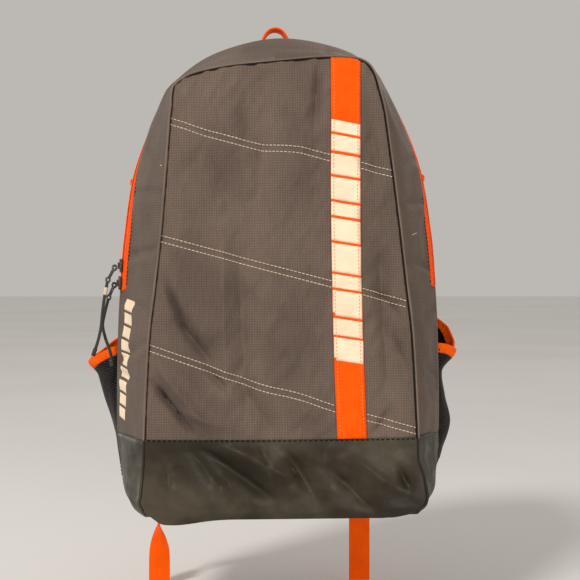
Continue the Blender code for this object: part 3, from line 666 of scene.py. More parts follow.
def webbing_look(name, colour, rib=0.0013, ribs_across=True, roughness=0.62):
    """Woven polyester webbing: ribs across it, finer yarns along it."""
    look = Look(name, colour, roughness, specular=0.08)
    cloth = look.place()
    u, v, _ = look.axes(cloth)
    along_web, across_web = (v, u) if ribs_across else (u, v)
    ribs, yarns = look.wave(along_web, rib), look.wave(across_web, 0.0011)
    between = look.math("MULTIPLY", look.math("SUBTRACT", 1.0, ribs), 0.3)
    base = look.mix(between, look.colour, scaled(colour, 0.62))
    base = look.toned(base, cloth, 60, 0.93, 1.05, 3)
    base = look.toned(base, cloth, 1100, 0.92, 1.06, 2)
    height = look.math("ADD", ribs, look.math("MULTIPLY", yarns, 0.45))
    rough = look.patchy(cloth, 300, roughness - 0.06, roughness + 0.12)
    return look.finish(base, rough, height, 0.00025, 0.6)


def plain_weave_look(name, colour, pitch=0.0010, roughness=0.85, sheen=0.2):
    look = Look(name, colour, roughness, sheen=sheen, specular=0.25)
    cloth, body = look.place(), look.place(on_cloth=False)
    weave = look.weave(cloth, pitch)
    base = look.mix(look.math("MULTIPLY", weave, 0.35), look.colour, scaled(colour, 1.5))
    base = look.toned(base, body, 24, 0.85, 1.12, 4)
    rough = look.patchy(body, 80, roughness - 0.08, roughness + 0.08)
    return look.finish(base, rough, weave, 0.0002, 0.6)


def spacer_mesh_look(name, colour):
    """Thick knitted mesh with rows of small round holes, for pieces with no layout of their own."""
    look = Look(name, colour, 0.9, sheen=0.3, specular=0.2)
    body = look.place(on_cloth=False)
    x, _, z = look.axes(body)
    pitch = 0.003
    holes = look.math("MULTIPLY", look.wave(x, pitch), look.wave(look.math("ADD", z, pitch / 4), pitch))
    pits = look.ramp(holes, 0.38, 0.72)
    base = look.mix(pits, look.colour, scaled(colour, 0.25))
    base = look.toned(base, body, 26, 0.85, 1.15, 4)
    rough = look.patchy(body, 150, 0.82, 0.96)
    return look.finish(base, rough, look.math("SUBTRACT", 1.0, pits), 0.0006, 0.7)


def moulded_look(name, colour, roughness=0.4):
    look = Look(name, colour, roughness, specular=0.45)
    body = look.place(on_cloth=False)
    base = look.toned(look.colour, body, 90, 0.85, 1.2, 4)
    rubbed = look.ramp(look.noise(body, 260, 5, 0.6), 0.55, 0.72, 0.0, 0.12)
    base = look.mix(rubbed, base, (0.16, 0.155, 0.15, 1.0))
    rough = look.patchy(body, 240, roughness - 0.08, roughness + 0.14, 4)
    return look.finish(base, rough, look.noise(body, 1800, 2), 0.00005, 0.4)


def metal_look(name, colour):
    """Dark plated zinc, rubbed bright in places."""
    look = Look(name, colour, 0.34, metallic=0.9)
    body = look.place(on_cloth=False)
    rubbed = look.ramp(look.noise(body, 420, 5, 0.6), 0.5, 0.7, 0.0, 0.55)
    base = look.mix(rubbed, look.colour, (0.34, 0.33, 0.31, 1.0))
    rough = look.patchy(body, 520, 0.26, 0.46, 4)
    return look.finish(base, rough, look.noise(body, 2400, 2), 0.00003, 0.4)


def thread_look(name, colour, sheen=0.2, specular=0.5):
    look = Look(name, colour, 0.6, sheen=sheen, specular=specular)
    body = look.place(on_cloth=False)
    twist = look.noise(body, 2600, 2)
    base = look.toned(look.colour, body, 130, 0.8, 1.05, 3)
    return look.finish(base, look.ramp(twist, 0.3, 0.7, 0.5, 0.7), twist, 0.0001, 0.5)


def braid_look(name, colour):
    """Round braided cord: crossing spirals of yarn."""
    look = Look(name, colour, 0.7, sheen=0.2)
    cloth, body = look.place(), look.place(on_cloth=False)
    u, v, _ = look.axes(cloth)
    braid = look.math("MAXIMUM", *(look.wave(look.math(turn, u, v), 0.0018) for turn in ("ADD", "SUBTRACT")))
    base = look.mix(look.math("MULTIPLY", braid, 0.55), scaled(colour, 0.55), scaled(colour, 1.9))
    base = look.toned(base, body, 160, 0.8, 1.15, 3)
    return look.finish(base, look.ramp(braid, 0.2, 1.0, 0.6, 0.8), braid, 0.0003, 0.6)


def print_look(name, colour):
    """Rubbery screen print, slightly cracked and yellowed."""
    look = Look(name, colour, 0.55, specular=0.4)
    cloth = look.place()
    base = look.toned(look.colour, cloth, 45, 0.93, 1.02, 3)
    cracks = look.ramp(look.noise(cloth, 420, 6, 0.7), 0.62, 0.72, 0.0, 0.35)
    base = look.mix(cracks, base, (0.55, 0.34, 0.17, 1.0))
    ribs = look.wave(look.axes(cloth)[1], 0.0013)
    return look.finish(base, look.patchy(cloth, 200, 0.45, 0.65), ribs, 0.00008, 0.4)


GREY, ORANGE = (0.155, 0.1115, 0.088), (1.0, 0.104, 0.0)
LOOKS = {
    "ripstop": ripstop_look("ripstop", GREY),
    "coated": coated_look("coated_cloth", (0.019, 0.0137, 0.0068)),
    "web": webbing_look("orange_webbing", ORANGE),
    "zip": webbing_look("orange_zip_tape", (1.0, 0.100, 0.001), rib=0.0009, roughness=0.52),
    "coil": moulded_look("orange_zip_coil", (1.0, 0.120, 0.002), 0.42),
    "elastic": webbing_look("orange_elastic", (1.0, 0.120, 0.001), 0.0017, False, 0.6),
    "mesh": plain_weave_look("pocket_mesh", (0.030, 0.026, 0.026), 0.0007),
    "lining": plain_weave_look("pocket_lining", (0.0045, 0.0035, 0.0035), 0.0007, sheen=0.0),
    "pad": spacer_mesh_look("pad_mesh", (0.030, 0.029, 0.028)),
    "strap": plain_weave_look("strap_cloth", (0.055, 0.050, 0.046), 0.0012),
    "binding": webbing_look("dark_binding", (0.020, 0.019, 0.018), rib=0.0010, roughness=0.7),
    "piping": plain_weave_look("piping_cloth", (0.165, 0.119, 0.093), 0.0009, 0.75, 0.02),
    "metal": metal_look("slider_metal", (0.075, 0.072, 0.070)),
    "cord": braid_look("pull_cord_braid", (0.024, 0.020, 0.017)),
    "plastic": moulded_look("moulded_plastic", (0.016, 0.016, 0.016), 0.38),
    "stiffener": moulded_look("stiffener_plastic", (0.022, 0.022, 0.022), 0.5),
    "cream_thread": thread_look("cream_thread", (0.66, 0.54, 0.42)),
    # Dark stitching thread; the same near-black look also paints the shadow line beside the front and boot
    # seams.
    "dark_thread_and_seam_shadow": thread_look("dark_thread_and_seam_shadow", (0.010, 0.007, 0.005), 0.0, 0.12),
    "orange_thread": thread_look("orange_thread", (1.0, 0.20, 0.03)),
    "print": print_look("cream_print", (0.90, 0.71, 0.50)),
}


# Front panel, gussets and boot

EDGE_X = 0.135  # half width of the front, by which shares are turned into rough distances from the seam
AHEAD_Y, BESIDE_X = -0.4, 0.3  # well in front of the bag and beside it, from where pieces are laid on it


def riding(obj, body, *nodes):
    """The piece rides a body and stands for the CAD nodes, if any."""
    if nodes:
        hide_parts(*nodes)
    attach(obj, body)


def on_pack(obj, *nodes):
    riding(obj, "pack", *nodes)


def over_fold(obj, *nodes):
    """The piece, which runs from the bag onto its flap, is left on no body with its transform baked into its
    mesh; it stands for the CAD nodes, if any.
    """
    if nodes:
        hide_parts(*nodes)
    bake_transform(obj)


def flat_uv(points):
    return points[..., (0, 2)]


def front_surface(bottom, top, relief):
    """The front cloth between two rows, moved out by relief(x, z, distance from side seam, and from top)."""

    def surface(s, t):
        across = 2 * s - 1
        points = front_face(bottom + (top - bottom) * t, across)
        x, z = points[..., 0], points[..., 2]
        top_z = np.broadcast_to(points[-1:, :, 2], z.shape)
        beside = (1 - np.abs(across)) * EDGE_X
        points[..., 1] -= relief(x, z, beside, np.abs(top_z - z))
        return points

    return surface


def front_panel():
    """The large front cloth, dented along its stitch lines."""

    def relief(x, z, beside, below):
        edge = np.minimum(beside, below)
        low = z + SEAT_HEIGHT - OUTLINES[BOOT_TOP][0][1]
        out = front_relief(x, z, np.minimum(edge, np.maximum(low, 0) * 1.7 + 0.002)) + gathers(x, below)
        for stitch_z in stitch_heights(x):
            out = out - 0.0007 * bell(z - stitch_z, 0.0042)
        return out

    surface = front_surface(BOOT_TOP - 0.015, CORNER, relief)
    panel = sheet("front_panel", surface, 180, 280, CLOTH, "ripstop", (0, -1, 0), flat_uv)
    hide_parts("front_panel_lower", "front_panel_fold", "front_panel_upper")
    return panel


# The double stitch lines across the front, as (x, z) from its left seam to its right one
STITCH_LINES = (
    ((-0.1160, -0.1315), (-0.0700, -0.1468), (-0.0250, -0.1582), (0.0130, -0.1615), (0.0470, -0.1690),
     (0.0790, -0.1762), (0.1150, -0.1850)),
    ((-0.1240, -0.2490), (-0.0780, -0.2615), (-0.0360, -0.2730), (0.0060, -0.2840), (0.0490, -0.2950),
     (0.0820, -0.3030), (0.1270, -0.3155)),
    ((-0.1340, -0.3580), (-0.0900, -0.3730), (-0.0520, -0.3870), (-0.0170, -0.3990), (0.0180, -0.4075),
     (0.0530, -0.4195), (0.0860, -0.4288), (0.1360, -0.4430)),
)
STITCH_GAP = 0.0032


def stitch_heights(x):
    for line in STITCH_LINES:
        places = np.array(line)
        yield np.interp(x, places[:, 0], places[:, 1])


# Creases across the side cloth, as z, tilt and depth
GUSSET_CREASES = ((-0.165, 0.30, 0.0028), (-0.205, 0.10, 0.0040), (-0.268, -0.08, 0.0040),
                  (-0.322, 0.3, 0.0022), (-0.372, -0.4, 0.0030), (-0.400, 0.2, 0.0026))


def gusset_waves(points, row, step):
    """Soft dents of the side cloth, none at its seams."""
    z, y = points[..., 2], points[..., 1]
    side = np.sign(row)
    held = np.minimum(step, 1.0) * (1 - smoothstep(0.6, 1.0, step))
    creases = -0.0058 * (side > 0) * bell(step - 0.16, 0.11) * smoothstep(0.0, 0.08, step)
    for crease_z, tilt, depth in GUSSET_CREASES:
        away = z - crease_z * (1 + 0.02 * side) - tilt * (y + 0.145)
        creases = creases - depth * (bell(away, 0.0045) - 0.5 * bell(away + 0.009, 0.007))
    soft = 0.0016 * ripple(y * 1.5 + side, z, 0.03, 11) + 0.0006 * ripple(y + side, z, 0.011, 12)
    return (soft + creases) * np.sqrt(np.clip(held * 4, 0, 1))


def outward_of(points):
    """Directions away from the bag's upright middle line, without depth."""
    middle = np.array((0.0, 0.0, -0.27))
    away = points - middle
    away[..., 1] = 0.0
    away[..., 2] *= np.where(points[..., 2] > -0.12, 1.0, 0.0)
    return unit(away)


def held_at(step):
    """An edge of side cloth that keeps to one step."""
    return lambda row: np.full_like(row, step)


def wrap_surface(low, start, end, waves=gusset_waves):
    """Cloth over the bag's sides and top, from row low on the right to row low on the left."""
    wrap = 2 * (CROWN - low)

    def surface(s, t):
        row = over_top(low + wrap * t)
        points = skin(row, start(row) + (end(row) - start(row)) * s)
        return points + outward_of(points) * waves(points, row, s)[..., None]

    return surface


def zip_cover(row):
    """How far the front cloth is folded over the zip: 0 by the sliders, 1 over the top."""
    left = np.interp(np.abs(row), (5.0, 5.6, 6.3, 6.7), (0.0, 0.25, 0.6, 1.0))
    right = np.interp(np.abs(row), (5.1, 5.6, 6.9, 7.4), (0.0, 0.45, 0.6, 1.0))
    return np.where(row < 0, left, right)


def gusset_rear_end(row):
    end = GUSSET_MEET[0] - ZIP_FRONT * smoothstep(ZIP_END - ZIP_FOOT, ZIP_END, np.abs(row))
    return end + (0.994 - end) * zip_cover(row)


def gusset_rear_start(row):
    return GUSSET_MEET[1] + ZIP_REAR * smoothstep(ZIP_END - ZIP_FOOT, ZIP_END, np.abs(row))


def top_tuck(points, row, s):
    """Side waves, and the tuck that crosses the top from the front seam."""
    x = points[..., 0]
    over = smoothstep(8.6, 9.2, np.abs(row))
    tuck = crease(x, s, (0.044, -0.2), (0.05, 1.1), 0.0045, 0.0026)
    tuck = tuck + crease(x, s, (0.054, -0.2), (0.06, 1.1), 0.007, -0.0012)
    lip = 0.0024 * zip_cover(row) * smoothstep(0.45, 0.95, s)
    return gusset_waves(points, row, s) + tuck * over * (1 - smoothstep(0.7, 1.0, s)) + lip


def gussets():
    """The side and top cloth before and behind the zip; returns the front one."""
    front = wrap_surface(BOOT_TOP, held_at(0.0), gusset_rear_end, top_tuck)
    piece = sheet("front_gusset", front, 26, 420, CLOTH, "ripstop")
    sides = (f"front_gusset_{side}_{part}" for side, _ in SIDES for part in ("lower", "fold", "upper"))
    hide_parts("front_gusset_top", *sides)
    back = wrap_surface(BOOT_TOP, gusset_rear_start, held_at(2.0))
    rear = sheet("rear_gusset", back, 34, 300, CLOTH, "ripstop")
    on_pack(rear, "rear_gusset_top", "rear_gusset_left", "rear_gusset_right")
    return piece


def boot():
    """The coated band round the foot of the bag and the base under it."""

    def relief(x, z, beside, below):
        edge = np.minimum(beside, z + SEAT_HEIGHT)
        soft = 0.0013 * ripple(x, z, 0.024, 21) + 0.0009 * ripple(x + 0.5 * z, z * 1.4, 0.013, 22)
        seam = smoothstep(0.0, 0.014, below) * smoothstep(0.0, 0.016, edge)
        return (soft + creased(x, z, BOOT_CREASES)) * seam + 0.0011

    surface = front_surface(BASE + 0.02, BOOT_TOP + 0.02, relief)
    front = sheet("boot_front_cloth", surface, 170, 70, COATED, "coated", (0, -1, 0), flat_uv)
    on_pack(front, "boot_front")
    for side, sign in SIDES:

        def flank(s, t):
            row = sign * (0.02 + (BOOT_TOP - 0.01) * t)
            step = 2.0 * s
            points = skin(row, step)
            z, y = points[..., 2], points[..., 1]
            fade = smoothstep(0.0, 0.1, s) * smoothstep(0.0, 0.1, 1 - s) * smoothstep(0.0, 0.2, t)
            dents = 0.0018 * ripple(y + sign, z, 0.026, 23) + 0.0008 * ripple(y + sign, z, 0.011, 24)
            points[..., 0] += sign * (dents * fade * smoothstep(0.0, 0.15, 1 - t) + 0.0008)
            return points

        facing = (sign, 0, 0)
        piece = sheet(f"boot_side_cloth_{side}", flank, 60, 34, COATED, "coated", facing)
        on_pack(piece, f"boot_side_{side}")

    def underside(s, t):
        step = 2.0 * t
        points = skin(np.full_like(t, 0.02), step)
        points[..., 0] *= 2 * s - 1
        rim = np.minimum(np.minimum(s, 1 - s), np.minimum(t, 1 - t))
        share = (BACK_Y - points[..., 1]) / (BACK_Y - FRONT_Y)
        rise = corner_rise(points[..., 0], share) + 0.0016 * (1 - smoothstep(0.0, 0.06, rim))
        points[..., 2] = -SEAT_HEIGHT + 0.0012 + rise
        return points

    base = sheet("base_cloth", underside, 60, 40, COATED, "coated", (0, 0, -1))
    on_pack(base, "boot_base")
    return front


def seam_lines(panel_tree, boot_tree):
    """Rows of stitches on the front and the boot."""
    lines = []
    for line in STITCH_LINES:
        places = np.array(line)
        curve = along(places, np.linspace(0, len(places) - 1, 600))
        for shift in (-STITCH_GAP, STITCH_GAP):
            points = [(x, z + shift) for x, z in curve if not in_stripe(x, z)]
            gap = next((k for k in range(1, len(points)) if points[k][0] - points[k - 1][0] > 0.02), None)
            for part in (points[:gap], points[gap:]) if gap else (points,):
                lines.append(laid_on_front(panel_tree, part))
    over_fold(thread("decorative_stitches", lines, "cream_thread", 0.0034, 0.0007, 0.00046))
    edge = outline_point(0, np.array(BOOT_TOP + 0.004))
    across = np.linspace(-edge[0] + 0.003, edge[0] - 0.003, 120)
    seam = [laid_on_front(boot_tree, [(x, edge[1] - SEAT_HEIGHT) for x in across])]
    riding(thread("boot_seam_stitches", seam, "dark_thread_and_seam_shadow", 0.0036, 0.0016, 0.0006), "pack")


def stripe_middle(height):
    low, high = OUTLINES[BOOT_TOP][0][1], OUTLINES[CORNER][0][1]
    share = (height - low) / (high - low)
    return STRIPE_LOW_X + (STRIPE_HIGH_X - STRIPE_LOW_X) * share - 0.0028 * hump(share)


def in_stripe(x, z):
    return abs(x - stripe_middle(z + SEAT_HEIGHT)) < STRIPE_WIDTH / 2 + 0.0006


def on_front(tree, x, z, lift):
    """The front surface at arrays of (x, z), raised by lift."""
    return cast_grid(tree, np.stack([x, np.full_like(x, AHEAD_Y), z], -1), 1, FRONT_Y, lift)


STRIPE_LOW_Z, STRIPE_HIGH_Z = -0.4492, -0.075


def stripe_top_z(x):
    row = np.full_like(x, float(CORNER))
    edge = front_face(row, np.linspace(0, 1, x.size).reshape(x.shape))
    return np.interp(x, edge[..., 0].ravel(), edge[..., 2].ravel()) - 0.0012


def stripe(tree):
    """Orange webbing down the front with its edge stitches."""

    def surface(s, t):
        z_mid = STRIPE_LOW_Z + (STRIPE_HIGH_Z - STRIPE_LOW_Z) * t
        x = stripe_middle(z_mid + SEAT_HEIGHT) + STRIPE_WIDTH * (s - 0.5)
        places = np.linspace(0.0, 0.1, 201)
        top = np.interp(x, places, stripe_top_z(places))
        z = STRIPE_LOW_Z + (top - STRIPE_LOW_Z) * t
        rim = np.minimum(s, 1 - s)
        return on_front(tree, x, z, 0.0012 + 0.0006 * smoothstep(0, 0.12, rim))

    piece = sheet("stripe_webbing", surface, 14, 190, 0.0011, "web", (0, -1, 0))
    web_tree = surface_tree(piece)
    over_fold(piece, "stripe_lower", "stripe_upper")
    lines = []
    heights = np.linspace(STRIPE_LOW_Z + 0.004, -0.07, 260)
    for side in (-1, 1):
        x = stripe_middle(heights + SEAT_HEIGHT) + side * (STRIPE_WIDTH / 2 - 0.003)
        lines.append(laid_on_front(web_tree, zip(x, heights)))
    over_fold(thread("stripe_stitches", lines, "orange_thread", 0.0026, 0.001, 0.00042))
    return web_tree


# Plain slanted bars printed on the stripe and the left flank: z of the stripe's bars' lower and upper ends
STRIPE_BARS = ((-0.3730, -0.3500), (-0.3476, -0.3310), (-0.3282, -0.3030), (-0.3004, -0.2870),
               (-0.2846, -0.2560), (-0.2534, -0.2310), (-0.2282, -0.2150), (-0.2124, -0.1900),
               (-0.1874, -0.1670), (-0.1640, -0.1480), (-0.1454, -0.1335))
FLANK_BARS, FLANK_BARS_Z = 9, -0.4340
PRINT, PRINT_LIFT = 0.00025, 0.0002


def printed_bars(name, bars, placed):
    """Thin sheets of print joined in one piece; placed lays arrays of (across, height) on a surface."""
    rows, columns = 9, 13
    s, t = np.meshgrid(np.linspace(0, 1, columns), np.linspace(0, 1, rows))
    points, faces, uvs = [], [], []
    for low, high, left, right, slant in bars:
        place = left + (right - left) * s
        height = low + (high - low) * t + slant * (s - 0.5)
        faces += (grid_faces(rows, columns) + len(points)).tolist()
        points += placed(place, height).reshape(-1, 3).tolist()
        uvs += np.stack([place, height], -1).reshape(-1, 2).tolist()
    obj = new_object(name, mesh_from(name, points, faces, uvs), "print")
    over_fold(thickened(obj, PRINT, 0.0))


def prints(web_tree, gusset_tree):
    """The bars of the stripe and of the left flank."""
    bars = []
    for low, high in STRIPE_BARS:
        middle = stripe_middle((low + high) / 2 + SEAT_HEIGHT)
        bars.append((low, high, middle - 0.0147, middle + 0.0147, -0.0044))
    printed_bars("stripe_bars", bars, lambda x, z: on_front(web_tree, x, z, PRINT_LIFT))
    bars = []
    for index in range(FLANK_BARS):
        low = FLANK_BARS_Z + index * 0.0139
        up = index / FLANK_BARS
        bars.append((low, low + 0.0112, -0.136 - 0.008 * up, -0.121 - 0.005 * up, 0.003))

    def on_flank(y, z):
        return cast_grid(gusset_tree, np.stack([np.full_like(y, -BESIDE_X), y, z], -1), 0, -0.16, PRINT_LIFT)

    printed_bars("flank_bars", bars, on_flank)


def loose_threads(gusset_tree):
    """Two short ends of pale thread caught on the side cloth."""
    ends = ((1, (-0.16, -0.2445), (-0.15, -0.242)), (-1, (-0.172, -0.1765), (-0.169, -0.176)))
    lines = []
    for sign, start, end in ends:
        run = np.linspace((sign * BESIDE_X, *start), (sign * BESIDE_X, *end), 12)
        lines.append(laid(gusset_tree, run, (-sign, 0, 0)))
    over_fold(thread("loose_threads", lines, "cream_thread", 0.004, 0.0, 0.00042))


def piping():
    """Folded cloth piping up the front seam, over the top and down again, and beside it a thin near-black
    tube of painted seam shadow, widest over the top and thinnest down the left; the boot's seams get the same
    piping and painted shadow line.
    """

    def edge_path(counts, out, forward):
        rows = over_top(counts)
        here = skin(rows, np.zeros_like(rows))
        tangent = unit(np.gradient(here, axis=0))
        outward = np.stack([tangent[:, 2], np.zeros(len(tangent)), -tangent[:, 0]], -1)
        return here + outward * out + np.array((0, -forward, 0))

    end = 2 * CROWN
    upper = np.linspace(BOOT_TOP, end - BOOT_TOP, 480)
    piece = swept("front_seam_piping", edge_path(upper, 0.0004, 0.0002), (0, -1, 0), round_profile(0.0011),
                  "piping")
    over_fold(piece, "piping_upper", "piping_left_lower", "piping_right_lower")
    # The dark tube beside the piping is painted seam shadow, not stitching: its width follows where the
    # seam's shadow falls, thick over the top and down the right, thin down the left.
    shadow_line_width = np.interp(upper, (2.0, 7.5, 10.0, 12.0, 12.6, 18.0), (1.0, 0.9, 1.2, 0.8, 0.4, 0.4))
    over_fold(swept("front_seam_shadow_line", edge_path(upper, -0.0015, 0.0006), (0, -1, 0),
                    round_profile(0.001) * shadow_line_width[:, None, None], "dark_thread_and_seam_shadow"))
    rows = {"right": np.linspace(0.05, BOOT_TOP, 60), "left": np.linspace(end - BOOT_TOP, end - 0.05, 60)}
    # The boot's seams: real piping, and the thinner dark tube of painted seam shadow, listed as the "thread"
    # kind.
    kinds = (("piping", 0.0004, 0.0012, "coated"), ("thread", -0.0015, 0.0008, "dark_thread_and_seam_shadow"))
    for side, counts in rows.items():
        for name, out, radius, look in kinds:
            on_pack(swept(f"boot_seam_{name}_{side}", edge_path(counts, out, 0.0006), (0, -1, 0),
                          round_profile(radius), look))


# Zip

def zip_tapes():
    """The two tapes, each with a raised fold beside its coil."""

    def tape(start, end, ridge_at):
        return wrap_surface(ZIP_END - 0.05, start, end,
                            lambda points, row, s: 0.0011 * bell(s - ridge_at, 0.2) + 0.0004)

    front = tape(lambda row: np.minimum(gusset_rear_end(row), 0.9) - 0.004, held_at(ZIP_MEET[0]), 0.42)
    piece = sheet("zip_front_tape", front, 12, 420, TAPE, "zip")
    over_fold(piece, "zip_front_upper", "zip_front_fold_left", "zip_front_fold_right")
    rear = tape(held_at(ZIP_MEET[1]), lambda row: gusset_rear_start(row) + 0.004, 0.58)
    piece = sheet("zip_rear_tape", rear, 12, 300, TAPE, "zip")
    on_pack(piece, "zip_rear_half")


def zip_coils():
    """The meshed coils: one short loop of each half after the other."""
    rows = over_top(np.linspace(ZIP_END, 2 * CROWN - ZIP_END, 900))
    middle = (ZIP_MEET[0] + ZIP_MEET[1]) / 2
    line = skin(rows, np.full_like(rows, middle))
    line = resampled(line + outward_of(line) * 0.0004, 0.0008)
    out = outward_of(line)
    reach = np.array((0.0, 1.0, 0.0))
    halves = (("zip_front_coil", 0, -1.0, over_fold), ("zip_rear_coil", 1, 1.0, on_pack))
    for name, first, sign, hold in halves:
        teeth = []
        for place, normal in zip(line[first::2], out[first::2]):
            ends = place + reach * sign * 0.0021, place - reach * sign * 0.0007
            teeth.append((np.array(ends), np.array((normal, normal))))
        coil = thread(name, teeth, "coil", length=0.00275, gap=1.0, radius=0.0005, sink=0.0)
        hold(coil)


def side_seams():
    """The welt that joins the front and rear side cloths below the zip."""
    for side, first, last in (("right", BOOT_TOP, ZIP_END), ("left", -BOOT_TOP, -ZIP_END)):
        rows = np.linspace(first, last, 70)
        line = skin(rows, np.ones_like(rows))
        over_fold(swept(f"side_seam_welt_{side}", line, (0, 1, 0), round_profile(0.001), "piping"))


def gusset_topstitch():
    """Stitches along the cloth's edges beside the zip."""
    rows = over_top(np.linspace(ZIP_END + 0.02, 2 * CROWN - ZIP_END - 0.02, 700))
    edges = (("zip_front_topstitch", gusset_rear_end(rows) - 0.028, over_fold),
             ("zip_rear_topstitch", gusset_rear_start(rows) + 0.014, on_pack))
    for name, steps, hold in edges:
        places = skin(rows, steps)
        out = outward_of(places)
        line = [(places + out * 0.0003, out)]
        hold(thread(name, line, "dark_thread_and_seam_shadow", 0.003, 0.0012, 0.00042))


# Sliders and pulls

def middle_of(node):
    low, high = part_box(node)
    return np.array((low + high) / 2)


def rounded_block(size, radius):
    block = bmesh.new()
    bmesh.ops.create_cube(block, size=1.0)
    bmesh.ops.scale(block, vec=size, verts=block.verts)
    bmesh.ops.bevel(block, geom=block.edges[:], offset=radius, segments=3, affect="EDGES", profile=0.5)
    mesh = bpy.data.meshes.new("block")
    block.to_mesh(mesh)
    block.free()
    points, faces = coordinates(mesh), [list(p.vertices) for p in mesh.polygons]
    bpy.data.meshes.remove(mesh)
    return points, faces


def joined(name, shapes, look):
    """One piece from several (points, faces) shapes."""
    points, faces = [], []
    for shape_points, shape_faces in shapes:
        faces += [[len(points) + k for k in face] for face in shape_faces]
        points += np.asarray(shape_points).tolist()
    mesh = mesh_from(name, points, faces)
    mesh.set_sharp_from_angle(angle=math.radians(50))
    return new_object(name, mesh, look)


RING_SIDES = (28, 10)


def ring_shape(centre, radius, wire, stretch):
    """An upright ring round a centre, seen round from the front, stretched sideways or up."""
    turns, angles = (np.arange(count) * 2 * math.pi / count for count in RING_SIDES)
    spoke = np.stack([np.cos(turns), 0 * turns, -stretch * np.sin(turns)], -1)
    across = (radius + wire * np.cos(angles))[None, :, None]
    points = centre + spoke[:, None] * across + np.array((0, 1, 0)) * (wire * np.sin(angles))[None, :, None]
    rounds, sides = RING_SIDES
    faces = []
    for i in range(rounds):
        here, there = i * sides, (i + 1) % rounds * sides
        for j, j2 in enumerate(np.roll(range(sides), -1).tolist()):
            faces.append([here + j, there + j, there + j2, here + j2])
    return points.reshape(-1, 3), faces


def slider(level):
    """A block with a lug for the pull, narrower towards its lower end."""
    middle = middle_of(f"slider_{level}")
    body, body_faces = rounded_block((0.0026, 0.0092, 0.0142), 0.0009)
    body[:, 1] *= 1 - 0.16 * (body[:, 2] < 0) * np.abs(body[:, 2]) / 0.0071
    lug, lug_faces = rounded_block((0.0026, 0.003, 0.0072), 0.0008)
    shapes = [(body + middle + (0.0011, 0, 0), body_faces), (lug + middle + (-0.0011, 0, 0), lug_faces)]
    piece = joined(f"slider_body_{level}", shapes, "metal")
    riding(piece, f"slider_{level}_body", f"slider_{level}")


def pull_tab(level, cord_start):
    """A pierced plate with a ring at the slider and one at the cord."""
    low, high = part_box(f"pull_tab_{level}")
    top = np.array((high.x - 0.0012, (low.y + high.y) / 2, high.z - 0.0008))
    bottom = cord_start + (0.0006, 0.0, 0.0022)
    run = bottom - top
    plate, faces = rounded_block((0.003, 0.0056, 0.0115), 0.001)
    lean = math.atan2(run[0], run[2]) + math.pi
    turn = np.array(((math.cos(lean), 0, math.sin(lean)), (0, 1, 0), (-math.sin(lean), 0, math.cos(lean))))
    shapes = [(plate @ turn.T + top + run * 0.55, faces), ring_shape(top + run * 0.12, 0.002, 0.0011, 1.15),
              ring_shape(bottom, 0.0019, 0.001, 1.2)]
    tab = joined(f"pull_tab_pierced_{level}", shapes, "metal")
    riding(tab, f"pull_{level}_body", f"pull_tab_{level}")


def pull_cord(level, route):
    """The braided cord with its moulded end; the upper one is whipped with pale thread."""
    body = f"pull_{level}_body"
    path = resampled(along(route, np.linspace(0, len(route) - 1, 120)), 0.002)

    def round_piece(name, part, size, look):
        return swept(name, path[part], (0, 1, 0), round_profile(CORD_RADIUS * size, 12), look)

    cord = round_piece(f"pull_cord_braid_{level}", slice(None), 0.92, "cord")
    riding(cord, body, f"pull_cord_{level}")
    fittings = [round_piece(f"pull_cord_end_{level}", slice(-5, None), 1.22, "plastic")]
    if level == "upper":
        fittings.append(round_piece("pull_cord_whipping", slice(3, 8), 1.16, "cream_thread"))
    for piece in fittings:
        riding(piece, body)
    round(float(lengths_along(path)[-1]), 4)


def pulls():
    for level, route in CORD_ROUTES.items():
        places = np.array([(x, CORD_DEPTHS[level], height - SEAT_HEIGHT) for x, height in route])
        slider(level)
        pull_tab(level, places[0])
        pull_cord(level, places)


# Pockets and small loops

def stand_off(side, height):
    """How far a side pocket stands off the flank at a height."""
    bulge = np.array(POCKETS[side]["bulge"])
    place = np.interp(height, bulge[:, 0], np.arange(len(bulge)))
    return along(bulge, place)[..., 1]


def pocket_surface(side, sign, low, high, lift=0.0):
    """The pocket's cloth; low and high give its lower and upper heights for a share along the mouth."""

    def surface(s, t):
        height = low(s) + (high(s) - low(s)) * t
        y = POCKET_FRONT_Y + (POCKET_REAR_Y - POCKET_FRONT_Y) * s
        base = skin(sign * row_at(height), depth_step(y))
        folds = 0.0016 * ripple(y * 1.2 + 3 * sign, height * 0.6, 0.017, 31) * hump(s)
        full = hump(np.clip(s, 0, 1)) ** POCKETS[side]["round"]
        base[..., 0] += sign * (0.0014 + lift + stand_off(side, height) * full + folds)
        return base

    return surface


def net(name, surface, columns, rows, thread_width, look):
    """A knitted net: diamond cells over a surface, each thread a thin bar."""
    points, index = [], {}

    def corner(i, j):
        if (i, j) not in index:
            index[i, j] = len(points)
            points.append((i / columns, j / rows))
        return index[i, j]

    faces = []
    for j in range(rows - 1):
        for i in range(j % 2, columns, 2):
            if i > 0:
                faces.append([corner(i, j), corner(i + 1, j + 1), corner(i, j + 2), corner(i - 1, j + 1)])
    places = np.array(points)
    mesh = mesh_from(name, surface(places[:, 0], places[:, 1]), faces, places * 0.1)
    obj = new_object(name, mesh, look)
    wires = obj.modifiers.new("threads", "WIREFRAME")
    wires.thickness = thread_width
    wires.use_even_offset = False
    wires.use_boundary = True
    return obj


